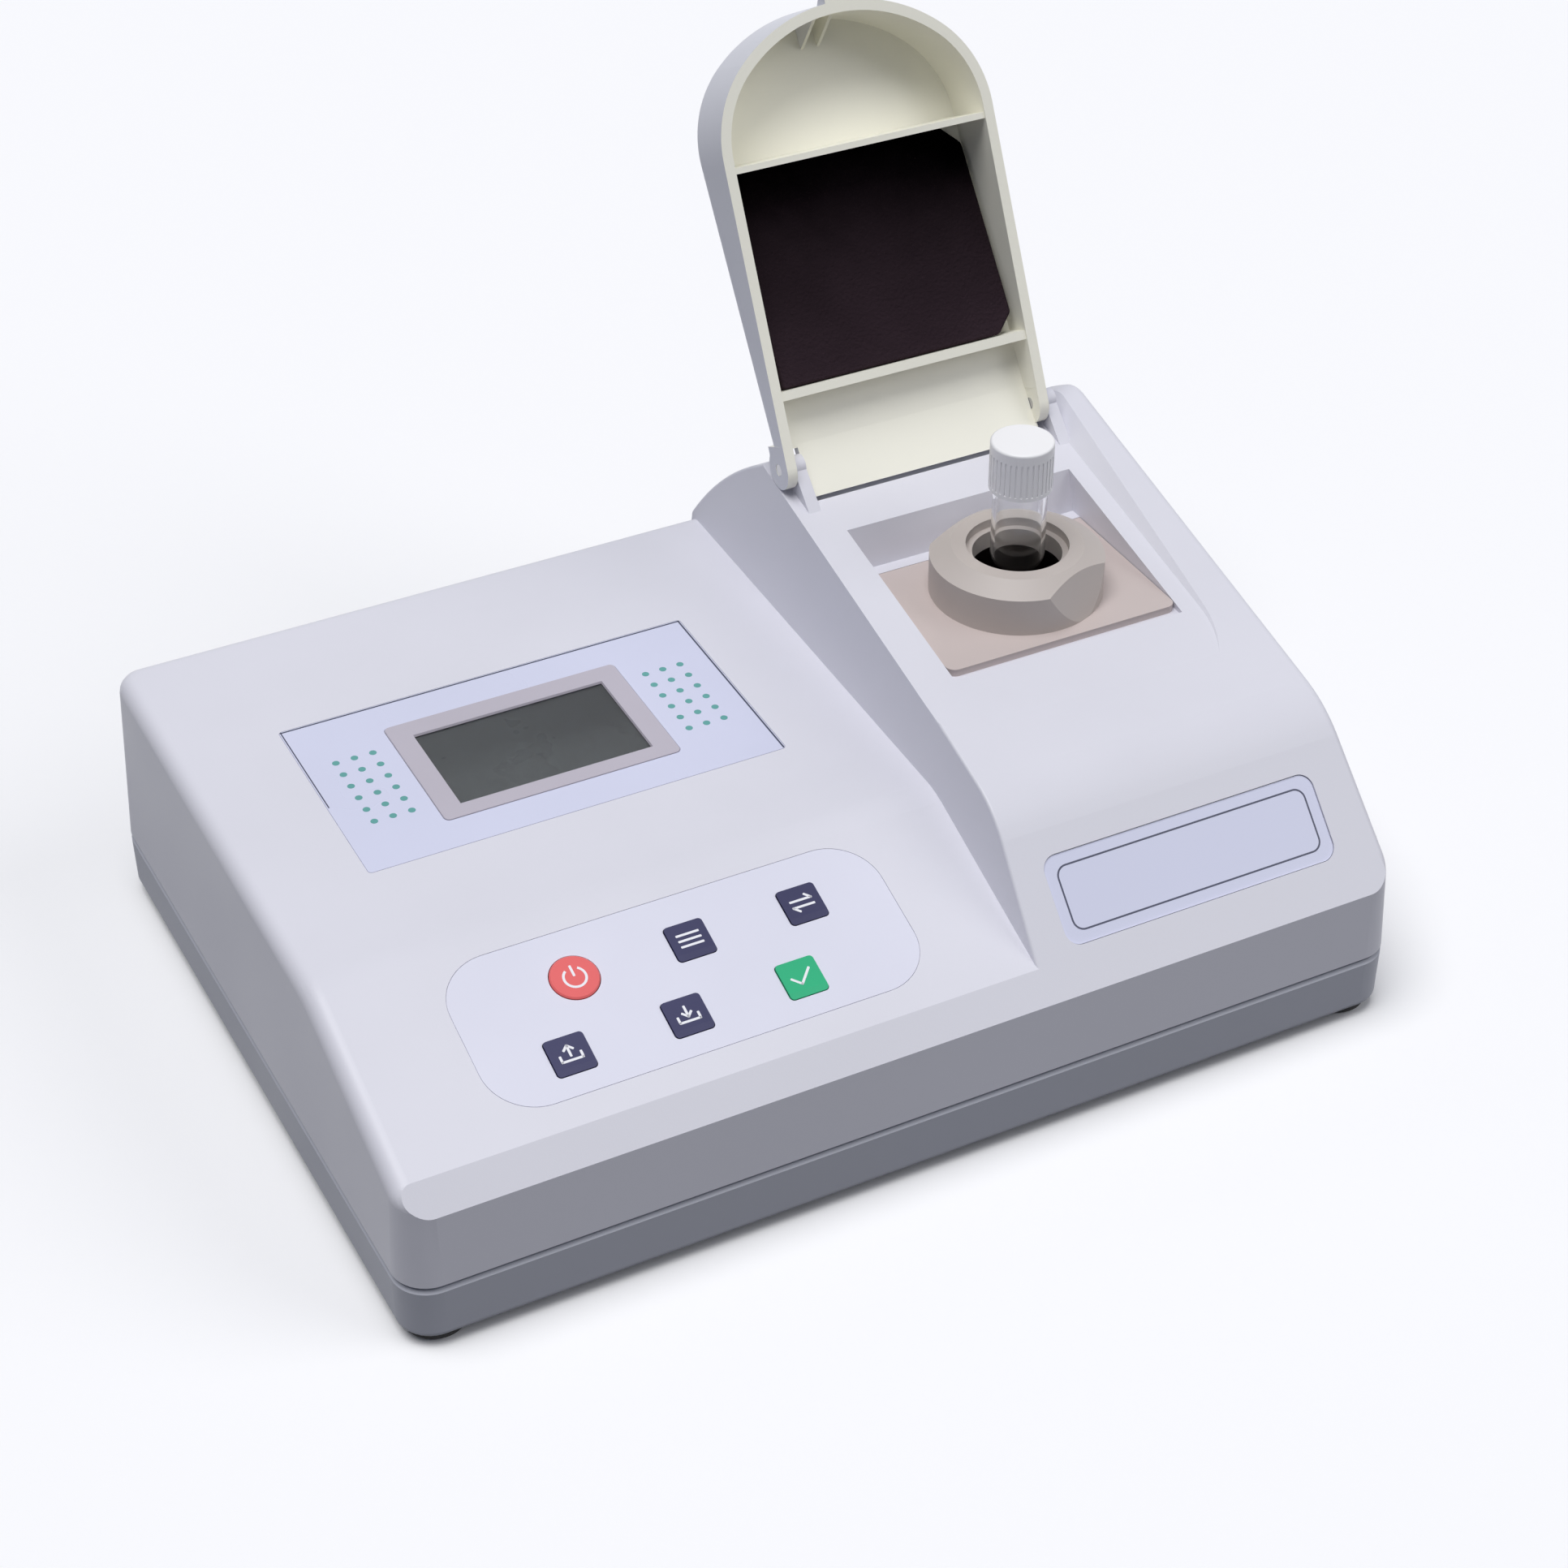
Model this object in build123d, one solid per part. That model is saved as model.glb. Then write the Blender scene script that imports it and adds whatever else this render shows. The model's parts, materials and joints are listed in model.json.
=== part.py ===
from build123d import *
import math
import os

# Bench photometer with a sloped console and a measuring tower. Millimetres.
# X runs across, Y from front to back and Z up. The case is centred on X and Y here,
# and the finished instrument is moved so that its origin is the middle of its underside.

# Case
case_width = 268
case_depth = 200
corner_radius = 9
wall = 2.5
draft = 3
foot_height = 3.2
base_height = 16.2
base_draft = 1
base_edge_round = 1.8
groove = 1.3
lip_chamfer = 0.8
tongue_height = 3
tongue_inset = 1.3
band_height = 19.6
strip_run = 6.3
strip_rise = 6.6
panel_run = 53.2
panel_slope = 18.2
top_slope = 1.95
bend_round = 25
side_round = 4.5
edge_round = 2.2
roof_reach = 5

# Measuring tower
tower_width = 104.1
tower_wall_lean = 4.7
tower_height = 86.3
tower_peak_setback = 46
tower_slope = 14.7
tower_shoulder_round = 30
tower_peak_round = 9
tower_back_height = 49
tower_back_bulge = 3.5
rail_round = 0.7

# Lid seat, compartment and measuring well
seat_slope = 12.15
seat_wall_lean = 50
well_inset = 54
well_y = 2
room_left = 34
room_right = 32.5
room_front = 26
room_back = 25
room_back_lean = 16
plate_rise = 0.5
floor_wall = 2.5
plate_thickness = 2
plate_back_gap = 3.5
plate_front_gap = 2.2
plate_corner = 2.6
bore_radius = 11.5
well_wall = 2
well_block = 36
well_block_drop = 66.3
well_floor = 2.5
beam_radius = 3.5
beam_drop = 36

# Guide collar over the well
collar_radius = 22.4
collar_height = 13.2
collar_cone_height = 3
collar_top_radius = 17
collar_lip_radius = 13.2
collar_lip_depth = 2.4
collar_neck = 6
flat_lean = 16.5
flat_turn = -69

# Vial and the sprung cup below it
vial_radius = 7
vial_wall = 1
vial_length = 67.4
vial_base = 2
cap_radius = 8.1
cap_height = 13.3
cap_top = 2
liner_thickness = 0.6
cap_ribs = 36
cap_rib_depth = 0.25
vial_stand = 30.3
cup_floor = 3
cup_depth = 8
spring_radius = 8.5
spring_wire = 1.0
spring_turns = 6

# Lid
lid_width = 78.1
lid_length = 107.4
lid_lean = 26
lid_wall = 2.8
lid_depth_back = 9
lid_roof_slope = 7.7
lid_roof_wall = 2.4
lid_draft = 1.5
lid_edge_round = 4.5
lid_corner_radius = 30
lid_crown_radius = 44
lid_front_gap = 3.2
lid_side_gap = 0.5
rim_end = 1
hinge_rise = 1.4
hinge_setback = 50
hinge_back = 5.3
hinge_down = 5.1
pin_radius = 1.5
pin_recess = 0.8
post_radius = 2.8
post_width = 3.4
post_foot = 11
trough_radius = 10.4
trough_gap = 1
tail_length = 14
tail_slope = 12
lower_rib = 13.5
lower_rib_width = 2.4
upper_rib = 71.5
upper_rib_width = 1.6
rib_drop = 0.6
tab_width = 5.6
tab_out = 2.2
tab_depth = 6
tab_rib = 8
tab_rib_width = 0.9
pad_chamfer = 5

# Display, keypad and label
display_shift = 5
display_centre = 62.2
overlay_width = 111.4
overlay_length = 61.3
overlay_thickness = 0.3
overlay_corner = 1
bezel_width = 63.5
bezel_length = 40.9
bezel_border = 6
bezel_low_border = 4.8
bezel_height = 0.6
bezel_corner = 1.5
window_margin = 2
window_thickness = 0.8
module_width = 66
module_length = 46
module_height = 5
module_ear = 2
keypad_width = 112
keypad_length = 42.7
keypad_centre = 28.7
keypad_corner = 13
key_pitch = 29.7
key_row_pitch = 18.9
key_row_low = 17.9
key_first_inset = 49.8
key_row_shift = 9.5
key_size = 9.9
key_corner = 1
key_power_radius = 6
key_proud = 0.5
key_flange = 1.2
key_flange_thickness = 0.8
key_stem_radius = 2
key_stem = 1.2
key_travel = 0.4
key_bevel = 1.6
key_bevel_drop = 0.35
keyboard_width = 110
keyboard_length = 36
board_thickness = 1.6
dome_radius = 4
dome_height = 0.8
label_width = 77.6
label_length = 22.6
label_centre = 22.7
label_inset = 53.3
label_corner = 4
label_depth = 1
label_thickness = 0.6

# Fits
slide_gap = 0.2
sheet_gap = 0.15
pin_gap = 0.08
seat_gap = 0.3
pad_gap = 0.3
post_gap = 0.4
travel_gap = 0.1

# Boards, screws and feet
screw_inset_x = 11
screw_inset_y = 30
screw_radius = 1.45
screw_head_radius = 2.8
screw_head_height = 2.2
screw_length = 14
boss_radius = 5
boss_height = 3.5
foot_radius = 7.5
foot_inset_x = 9.8
foot_inset_y = 9.8
foot_recess = 0.8
main_width = 112
main_length = 84
main_inset_x = 30
main_inset_y = 17
board_edge = 4
standoff_height = 14.8
standoff_radius = 2.8
board_screw_radius = 1.2
board_head_radius = 2.3
board_head_height = 1.5
jack_width = 9
jack_length = 14
jack_height = 11
jack_bore = 3.1
jack_pin = 1
jack_depth = 9.5
jack_inset = 41
jack_lip = 1
port_width = 12
port_height = 10.9
port_length = 16
port_pitch = 26
port_shell = 1
port_depth = 9
port_tongue = 5
ribbon_width = 20
ribbon_thickness = 0.9
ribbon_rise = 10
ribbon_round = 4
socket_shift = 22
socket_length = 6
socket_height = 7
chip_size = 14
chip_height = 1.6
small_chip_size = 8
capacitor_radius = 3.1
capacitor_height = 11
buzzer_radius = 6
buzzer_height = 8
buzzer_inset_x = 14
buzzer_inset_y = 16
buzzer_hole = 1
board_screw_bite = 6
slot_width = 0.6
draft_back = 0.8

# Light source and detector
tube_radius = 6.5
tube_flange = 1.5
tube_length = 16
lens_radius = 5
lens_thickness = 3
filter_thickness = 1.5
lamp_length = 8
detector_length = 5
optics_board = 26
pad_side_gap = 1.6


def tan(angle):
    return math.tan(math.radians(angle))


def cos(angle):
    return math.cos(math.radians(angle))


def sin(angle):
    return math.sin(math.radians(angle))


def tilted(y, z, angle):
    """A plane along X through a point, sloping up towards the back."""
    return Plane(origin=(0, y, z), x_dir=(1, 0, 0), z_dir=(0, -sin(angle), cos(angle)))


# Lines of the case that the pieces share
front_y = -case_depth / 2
back_y = case_depth / 2
left_x = -case_width / 2
right_x = case_width / 2
parting_z = foot_height + base_height
edge_y = front_y + band_height * tan(draft)
edge_z = parting_z + band_height
strip_slope = math.degrees(math.atan2(strip_rise, strip_run))
panel_y = edge_y + strip_run
panel_z = edge_z + strip_rise
bend_y = panel_y + panel_run
bend_z = panel_z + panel_run * tan(panel_slope)
tower_left = right_x - tower_width
peak_y = back_y - tower_peak_setback
peak_z = parting_z + tower_height
shoulder_y = (peak_z - edge_z - peak_y * tan(tower_slope) + edge_y * tan(strip_slope)) / (
    tan(strip_slope) - tan(tower_slope))
shoulder_z = edge_z + (shoulder_y - edge_y) * tan(strip_slope)
well_x = right_x - well_inset
outside = 10

strip_plane = tilted(edge_y, edge_z, strip_slope)
panel_plane = tilted(panel_y, panel_z, panel_slope)
top_plane = tilted(bend_y, bend_z, top_slope)

# The lid turns about this line. Its seat lies below the line, parallel to the closed rim.
hinge_y = back_y - hinge_setback
hinge_z = peak_z - (peak_y - hinge_y) * tan(tower_slope) + hinge_rise
seat_below_hinge = hinge_back + seat_gap
seat_origin_y = hinge_y + seat_below_hinge * sin(seat_slope)
seat_origin_z = hinge_z - seat_below_hinge * cos(seat_slope)
seat_plane = tilted(seat_origin_y, seat_origin_z, seat_slope)

# Open lid frame: local Y runs up the lid from the hinge end, local Z out of its open side.
lid_up = Vector(0, sin(lid_lean), cos(lid_lean))
lid_back = Vector(0, cos(lid_lean), -sin(lid_lean))
lid_origin = Vector(0, hinge_y, hinge_z) - lid_back * hinge_back + lid_up * hinge_down
lid_plane = Plane(origin=lid_origin, x_dir=(1, 0, 0), z_dir=-lid_back)
lid_left = tower_left + (hinge_z - parting_z) * tan(tower_wall_lean) - lid_side_gap
lid_right = lid_left + lid_width
lid_middle = lid_left + lid_width / 2

# The left hinge post stands inside the lid's left ear, the right one outside its right ear.
left_post = lid_left + lid_wall + post_gap
right_post = lid_right + post_gap
post_places = [(left_post, left_post + post_width), (right_post, right_post + post_width)]
tail_left = left_post + post_width + post_gap
tail_right = lid_right - lid_wall

# The compartment floor and the heights over the well
room_left_x = well_x - room_left
room_right_x = well_x + room_right
room_front_y = well_y - room_front
room_back_y = well_y + room_back
seat_front_z = seat_origin_z + (room_front_y - seat_origin_y) * tan(seat_slope)
plate_z = seat_front_z + plate_rise
collar_z = plate_z + collar_height
neck_radius = bore_radius + well_wall
block_top_z = plate_z - plate_thickness - floor_wall
block_low_z = block_top_z - well_block_drop
beam_z = plate_z - beam_drop
cap_top_z = collar_z + vial_stand
glass_top_z = cap_top_z - cap_top - liner_thickness
glass_low_z = glass_top_z - vial_length
cup_low_z = glass_low_z - cup_floor
spring_low_z = block_low_z + well_floor

board_z = foot_height + wall + standoff_height
board_top_z = board_z + board_thickness
display_x = (left_x + tower_left) / 2 + display_shift
label_x = right_x - label_inset
keyboard_x = display_x - key_row_shift / 2
keyboard_centre = key_row_low + key_row_pitch / 2
keyboard_drop = key_flange_thickness + key_stem + key_travel + travel_gap + dome_height
window_seat = slide_gap
main_x = left_x + main_inset_x + main_width / 2
main_y = back_y - main_inset_y - main_length / 2
jack_x = left_x + jack_inset
port_x = jack_x + port_pitch
jack_z = board_top_z + jack_height / 2
port_z = board_top_z + port_height / 2
boss_top_z = foot_height + wall + boss_height
screw_seat_z = foot_height + screw_head_height + slide_gap


def slab(plane, centre, size, radius, low, high):
    """A plate with rounded corners between two heights over a plane."""
    outline = RectangleRounded(*size, radius)
    return plane * Location((centre[0], centre[1], low)) * extrude(outline, high - low)


def disc(plane, centre, radius, low, high):
    """A round plate between two heights over a plane."""
    return plane * Location((centre[0], centre[1], low)) * extrude(Circle(radius), high - low)


def upright(x, y, radius, low, high):
    """A round post that stands on the given spot."""
    return disc(Plane.XY, (x, y), radius, low, high)


def block(x, y, z):
    """A box between the given pairs of limits."""
    size = [high - low for low, high in (x, y, z)]
    middle = [(high + low) / 2 for low, high in (x, y, z)]
    return Location(middle) * Box(*size)


def across(face, low, high):
    """A side outline, drawn as (Y, Z), drawn out along X between two places."""
    return Location((low, 0, 0)) * extrude(Plane.YZ * face, high - low)


def lid_section(points, low, high):
    """A lid section, drawn as (distance up the lid, depth below the rim), along X."""
    section = make_face(Polyline(*points, close=True))
    frame = Plane(origin=lid_origin, x_dir=lid_up, z_dir=(-1, 0, 0))
    return Location((high, 0, 0)) * extrude(frame * section, high - low)


def corners(x, y):
    return [(x, y), (-x, y), (-x, -y), (x, -y)]


def near(face, y):
    return [corner for corner in face.vertices() if abs(corner.X - y) < 0.01]


def footprint(inset, low, high):
    """The case outline, with its walls drafted inwards from the parting line up."""
    spread = 2 * ((parting_z - low) * tan(draft) - inset)
    outline = RectangleRounded(case_width + spread, case_depth + spread, corner_radius - inset)
    return extrude(Plane.XY.offset(low) * outline, high - low, taper=draft)


def console_form(inset, low):
    """The full width of the case under the strip, the keypad slope and the top."""
    reach_y = front_y - outside
    reach_z = edge_z - (edge_y - reach_y) * tan(strip_slope)
    far_y = back_y + outside
    far_z = bend_z + (far_y - bend_y) * tan(top_slope)
    outline = Polyline((reach_y, low), (reach_y, reach_z), (panel_y, panel_z), (bend_y, bend_z),
                       (far_y, far_z), (far_y, low), close=True)
    face = make_face(outline)
    face = fillet(near(face, bend_y), bend_round)
    if inset:
        face = offset(face, -inset, kind=Kind.INTERSECTION)
    body = across(face, left_x - outside, right_x + outside)
    return body & footprint(inset, low, peak_z)


def tower_form(inset, low):
    """The measuring tower: one slope with the strip, a rising top and a rounded back."""
    reach_y = front_y - outside
    reach_z = edge_z - (edge_y - reach_y) * tan(strip_slope)
    far_y = back_y + outside
    arc_z = parting_z + tower_back_height
    arc_y = back_y - tower_back_height * tan(draft)
    front = Polyline((far_y, low), (reach_y, low), (reach_y, reach_z), (shoulder_y, shoulder_z),
                     (peak_y, peak_z))
    back = SagittaArc((peak_y, peak_z), (arc_y, arc_z), tower_back_bulge)
    rest = Polyline((arc_y, arc_z), (far_y, arc_z), (far_y, low))
    face = make_face([*front.edges(), *back.edges(), *rest.edges()])
    face = fillet(near(face, shoulder_y), tower_shoulder_round)
    face = fillet(near(face, peak_y), tower_peak_round)
    if inset:
        face = offset(face, -inset, kind=Kind.INTERSECTION)
    body = across(face, tower_left - outside, right_x + outside)
    high = peak_z + outside
    foot_x = tower_left + (low - parting_z) * tan(tower_wall_lean) + inset
    head_x = tower_left + (high - parting_z) * tan(tower_wall_lean) + inset
    side = make_face(Polyline((foot_x, low), (case_width, low), (case_width, high), (head_x, high),
                              close=True))
    wedge = Location((0, far_y, 0)) * extrude(Plane.XZ * side, 2 * far_y)
    return body & wedge & footprint(inset, low, high)


def lid_outline(inset, tail, upward=1):
    """The lid as an arch in the rim plane: straight sides, two corner arcs and a crown."""
    half = lid_width / 2 - inset
    corner = lid_corner_radius - inset
    crown = lid_crown_radius - inset
    corner_x = half - corner
    crown_y = lid_length - inset - crown
    corner_y = crown_y + math.sqrt((crown - corner) ** 2 - corner_x ** 2)
    share = crown / (crown - corner)
    join_x = corner_x * share
    join_y = crown_y + (corner_y - crown_y) * share
    angle = math.degrees(math.atan2(join_y - corner_y, join_x - corner_x)) / 2
    middle_x = corner_x + corner * cos(angle)
    middle_y = corner_y + corner * sin(angle)

    def at(x, y):
        return (lid_middle + x, upward * y)

    lines = [
        Line(at(half, -tail), at(half, corner_y)),
        ThreePointArc(at(half, corner_y), at(middle_x, middle_y), at(join_x, join_y)),
        ThreePointArc(at(join_x, join_y), at(0, crown_y + crown), at(-join_x, join_y)),
        ThreePointArc(at(-join_x, join_y), at(-middle_x, middle_y), at(-half, corner_y)),
        Line(at(-half, corner_y), at(-half, -tail)),
        Line(at(-half, -tail), at(half, -tail)),
    ]
    return make_face(lines)


def seat_cut(grow):
    """The lid's shallow seat in the tower top, open at its left and at its back."""
    outline = lid_outline(-lid_front_gap - grow, hinge_setback, -1)
    base = seat_plane * Location((0, -hinge_down, -grow)) * outline
    cut = extrude(base, lid_depth_back + outside, taper=-seat_wall_lean)
    side_length = lid_length - lid_corner_radius
    side = seat_plane * Location((lid_middle - lid_width / 2, -side_length / 2 + hinge_setback / 2, -grow))
    side_box = Box(lid_width, side_length + hinge_setback, lid_depth_back + outside,
                   align=(Align.CENTER, Align.CENTER, Align.MIN))
    return cut + side * side_box


def room_cut(grow):
    """The compartment round the well: flat floor, upright front and a leaning back wall."""
    high = peak_z
    lean = (high - plate_z) * tan(room_back_lean)
    side = make_face(Polyline(
        (room_front_y - grow, plate_z - grow), (room_back_y + grow, plate_z - grow),
        (room_back_y + grow + lean, high), (room_front_y - grow, high), close=True))
    room = across(side, room_left_x - grow, room_right_x + grow)
    tray = block((room_left_x - grow, room_right_x + grow),
                 (room_front_y - plate_front_gap - grow, room_back_y - plate_back_gap + grow),
                 (plate_z - plate_thickness - grow, plate_z))
    return room + tray


def trough_cut(grow):
    """The round trough in which the lid's tail turns."""
    low = tail_left - post_gap - grow
    high = tail_right + trough_gap + grow
    return hinge_bar(trough_radius + grow, low, high)


def hinge_bar(radius, low, high):
    """A round bar on the hinge line."""
    frame = Plane(origin=(low, hinge_y, hinge_z), x_dir=(0, 1, 0), z_dir=(1, 0, 0))
    return frame * extrude(Circle(radius), high - low)


def hinge_posts():
    """The case's two hinge posts, each with a foot that runs forward along the seat."""
    posts = []
    front_y = hinge_y - post_foot
    foot_z = seat_origin_z + (front_y - seat_origin_y) * tan(seat_slope)
    low_z = foot_z - wall / 2
    for low, high in post_places:
        side = make_face(Polyline(
            (hinge_y + post_radius, hinge_z), (hinge_y + post_radius, low_z), (front_y, low_z),
            (front_y, foot_z), (hinge_y - post_radius, hinge_z), close=True))
        post = across(side, low, high) + hinge_bar(post_radius, low, high)
        posts.append(post - hinge_bar(pin_radius, low, high))
    return posts


def key_places():
    """Centre and outline of each key on the keypad slope, by name."""
    first_x = left_x + wall + key_first_inset
    low = key_row_low
    high = key_row_low + key_row_pitch
    return {
        "key_power": (first_x + key_row_shift, high),
        "key_menu": (first_x + key_row_shift + key_pitch, high),
        "key_switch": (first_x + key_row_shift + 2 * key_pitch, high),
        "key_recall": (first_x, low),
        "key_save": (first_x + key_pitch, low),
        "key_confirm": (first_x + 2 * key_pitch, low),
    }


def key_outline(name, grow):
    if name == "key_power":
        return Circle(key_power_radius + grow)
    return RectangleRounded(key_size + 2 * grow, key_size + 2 * grow, key_corner + grow)


def key_solid(name, grow, low, high):
    return panel_plane * Location((*key_places()[name], low)) * extrude(key_outline(name, grow), high - low)


def board_holes():
    """Where the main board is screwed down."""
    half_x = main_width / 2 - board_edge
    half_y = main_length / 2 - board_edge
    return [(main_x + x, main_y + y) for x, y in corners(half_x, half_y)]


def keyboard_holes():
    """Where the keypad board is screwed up under the panel, on the panel's plane."""
    half_x = keyboard_width / 2 - board_edge
    half_y = keyboard_length / 2 - board_edge
    return [(keyboard_x + x, keyboard_centre + y) for x, y in corners(half_x, half_y)]


def module_holes():
    """Where the display module is screwed up under the top, on the top's plane."""
    half_x = module_width / 2 + module_ear
    half_y = module_length / 2 - board_edge
    return [(display_x + x, display_centre + y) for x, y in corners(half_x, half_y)]


def case_screw_places():
    return corners(case_width / 2 - screw_inset_x, case_depth / 2 - screw_inset_y)


def roof_z(y):
    """Height of the tower's strip and slope over a place between front and back."""
    return min(edge_z + (y - edge_y) * tan(strip_slope), peak_z - (peak_y - y) * tan(tower_slope))


def upper_outside():
    """The outer form of the upper shell: console and tower, each with its rounded edges."""
    console = console_form(0, parting_z)
    soft = []
    for edge in console.edges():
        middle = edge @ 0.5
        by_side = middle.X < left_x + corner_radius
        by_back = middle.Y > back_y - corner_radius and middle.X < tower_left
        if middle.Z > panel_z + 1 and (by_side or by_back) and abs((edge % 0.5).Z) < 0.7:
            soft.append(edge)
    console = fillet(soft, side_round)
    tower = tower_form(0, parting_z)
    slope = []
    for edge in tower.edges():
        middle = edge @ 0.5
        if middle.X > right_x - corner_radius and abs(middle.Z - roof_z(middle.Y)) < slide_gap:
            slope.append(edge)
    tower = fillet(max(slope, key=lambda edge: edge.length), edge_round)
    rail = []
    for edge in tower.edges():
        middle = edge @ 0.5
        wall_x = tower_left + (middle.Z - parting_z) * tan(tower_wall_lean)
        if abs(middle.X - wall_x) < slide_gap and abs(middle.Z - roof_z(middle.Y)) < roof_reach:
            rail.append(edge)
    tower = fillet(rail, rail_round)
    return (console + tower).clean()


def upper_shell():
    body = upper_outside()
    low = parting_z - outside
    hollow = console_form(wall, low) + tower_form(wall, low)
    hollow -= seat_cut(wall)
    hollow -= room_cut(floor_wall)
    hollow -= trough_cut(wall)
    for x, y in case_screw_places():
        hollow -= upright(x, y, boss_radius, boss_top_z, peak_z)
    for x, y in keyboard_holes():
        hollow -= disc(panel_plane, (x, y), boss_radius / 2, -wall - keyboard_drop, 0)
    for x, y in module_holes():
        hollow -= disc(top_plane, (x, y), boss_radius / 2, -wall - window_seat, 0)
    body -= hollow
    for x, y in case_screw_places():
        body += upright(x, y, boss_radius, boss_top_z, parting_z + tongue_height)
    body -= seat_cut(0)
    body -= room_cut(0)
    body -= trough_cut(0)
    for post in hinge_posts():
        body += post
    body -= upright(well_x, well_y, neck_radius + slide_gap, block_top_z, plate_z)
    # The rebate for the tongue of the lower shell
    rebate = slab(Plane.XY, (0, 0), (case_width - 2 * tongue_inset + 2 * slide_gap,
                                     case_depth - 2 * tongue_inset + 2 * slide_gap),
                  corner_radius - tongue_inset + slide_gap, parting_z, parting_z + tongue_height - groove)
    body -= rebate - screw_bosses(0)
    # Recesses for the printed sheets and the label, and the openings below them
    display = (display_x, display_centre)
    body -= slab(top_plane, display, (overlay_width + 2 * sheet_gap, overlay_length + 2 * sheet_gap),
                 overlay_corner + sheet_gap, -overlay_thickness, side_round)
    body -= slab(top_plane, display, window_size(slide_gap), bezel_corner / 2 + slide_gap, -wall * 2, 0)
    body -= slab(panel_plane, (display_x, keypad_centre),
                 (keypad_width + 2 * sheet_gap, keypad_length + 2 * sheet_gap),
                 keypad_corner + sheet_gap, -overlay_thickness, side_round)
    for name in key_places():
        body -= key_solid(name, slide_gap, -wall * 2, 0)
    body -= slab(strip_plane, (label_x, label_centre), (label_width, label_length), label_corner,
                 -label_depth, side_round)
    for x, y in keyboard_holes():
        body -= disc(panel_plane, (x, y), board_screw_radius, -wall - keyboard_drop, -wall)
    for x, y in module_holes():
        body -= disc(top_plane, (x, y), board_screw_radius, -wall - window_seat, -wall)
    for x, y in case_screw_places():
        body -= upright(x, y, screw_radius, boss_top_z, screw_seat_z + screw_length)
    body -= back_cylinder(jack_x, jack_z, jack_bore + slide_gap + jack_lip, -wall * 2, outside)
    body -= back_box(port_x, port_z, port_width + 2 * slide_gap, port_height + 2 * slide_gap,
                     -wall * 2, outside)
    return body


def screw_bosses(low):
    bosses = []
    for x, y in case_screw_places():
        bosses.append(upright(x, y, boss_radius, low, parting_z + tongue_height))
    return Compound(bosses)


def back_cylinder(x, z, radius, low, high):
    """A round bar square to the back, measured backwards from the back of the case."""
    frame = Plane(origin=(x, back_y + low, z), x_dir=(1, 0, 0), z_dir=(0, 1, 0))
    return frame * extrude(Circle(radius), high - low)


def back_box(x, z, width, height, low, high):
    return block((x - width / 2, x + width / 2), (back_y + low, back_y + high),
                 (z - height / 2, z + height / 2))


def window_size(grow):
    width = bezel_width - 2 * bezel_border + 2 * window_margin + 2 * grow
    length = bezel_length - 2 * bezel_border + 2 * window_margin + 2 * grow
    return (width, length)


def lower_shell():
    """The tray below the parting line, with a tongue that centres the upper shell."""
    top_z = parting_z - groove
    down = Plane(origin=(0, 0, top_z), x_dir=(1, 0, 0), z_dir=(0, 0, -1))
    outline = RectangleRounded(case_width, case_depth, corner_radius)
    body = extrude(down * outline, top_z - foot_height, taper=base_draft)
    body = fillet(body.edges().group_by(Axis.Z)[0], base_edge_round)
    body = chamfer(body.edges().group_by(Axis.Z)[-1], lip_chamfer)
    inner = RectangleRounded(case_width - 2 * wall, case_depth - 2 * wall, corner_radius - wall)
    body -= extrude(down * inner, top_z - foot_height - wall, taper=base_draft)
    tongue = RectangleRounded(case_width - 2 * tongue_inset, case_depth - 2 * tongue_inset,
                              corner_radius - tongue_inset) - inner
    body += extrude(Plane.XY.offset(top_z) * tongue, tongue_height)
    floor_z = foot_height + wall
    for x, y in case_screw_places():
        body += upright(x, y, boss_radius, foot_height + wall / 2, boss_top_z)
        body -= upright(x, y, screw_radius + slide_gap, foot_height, boss_top_z)
        body -= upright(x, y, screw_head_radius + slide_gap, foot_height - wall, screw_seat_z)
    for x, y in foot_places():
        body -= upright(x, y, foot_radius + slide_gap, foot_height - wall, foot_height + foot_recess)
    for x, y in board_holes():
        body -= upright(x, y, board_screw_radius, floor_z - wall / 2, floor_z)
    return body


def foot_places():
    return corners(case_width / 2 - foot_inset_x, case_depth / 2 - foot_inset_y)


def feet():
    pads = []
    for x, y in foot_places():
        pad = upright(x, y, foot_radius, 0, foot_height + foot_recess)
        pads.append(chamfer(pad.edges().group_by(Axis.Z)[0], foot_recess))
    return Compound(pads)


def screw(x, y, head_z, radius, length, head_radius, head_height):
    """A pan head screw driven upwards, with a cross slot in its head."""
    body = upright(x, y, head_radius, head_z - head_height, head_z)
    body += upright(x, y, radius, head_z, head_z + length)
    long = (-head_radius * 0.6, head_radius * 0.6)
    thin = (-slot_width / 2, slot_width / 2)
    deep = (head_z - head_height, head_z - head_height / 2)
    cross = block(long, thin, deep) + block(thin, long, deep)
    return body - Location((x, y, 0)) * cross


def case_screws():
    screws = []
    for x, y in case_screw_places():
        screws.append(screw(x, y, screw_seat_z, screw_radius, screw_length, screw_head_radius,
                            screw_head_height))
    return Compound(screws)


def window_overlay():
    sheet = slab(top_plane, (display_x, display_centre), (overlay_width, overlay_length), overlay_corner,
                 -overlay_thickness, 0)
    hole = (bezel_width + 2 * sheet_gap, bezel_length + 2 * sheet_gap)
    return sheet - slab(top_plane, (display_x, display_centre), hole, bezel_corner + sheet_gap, -1, 1)


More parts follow.
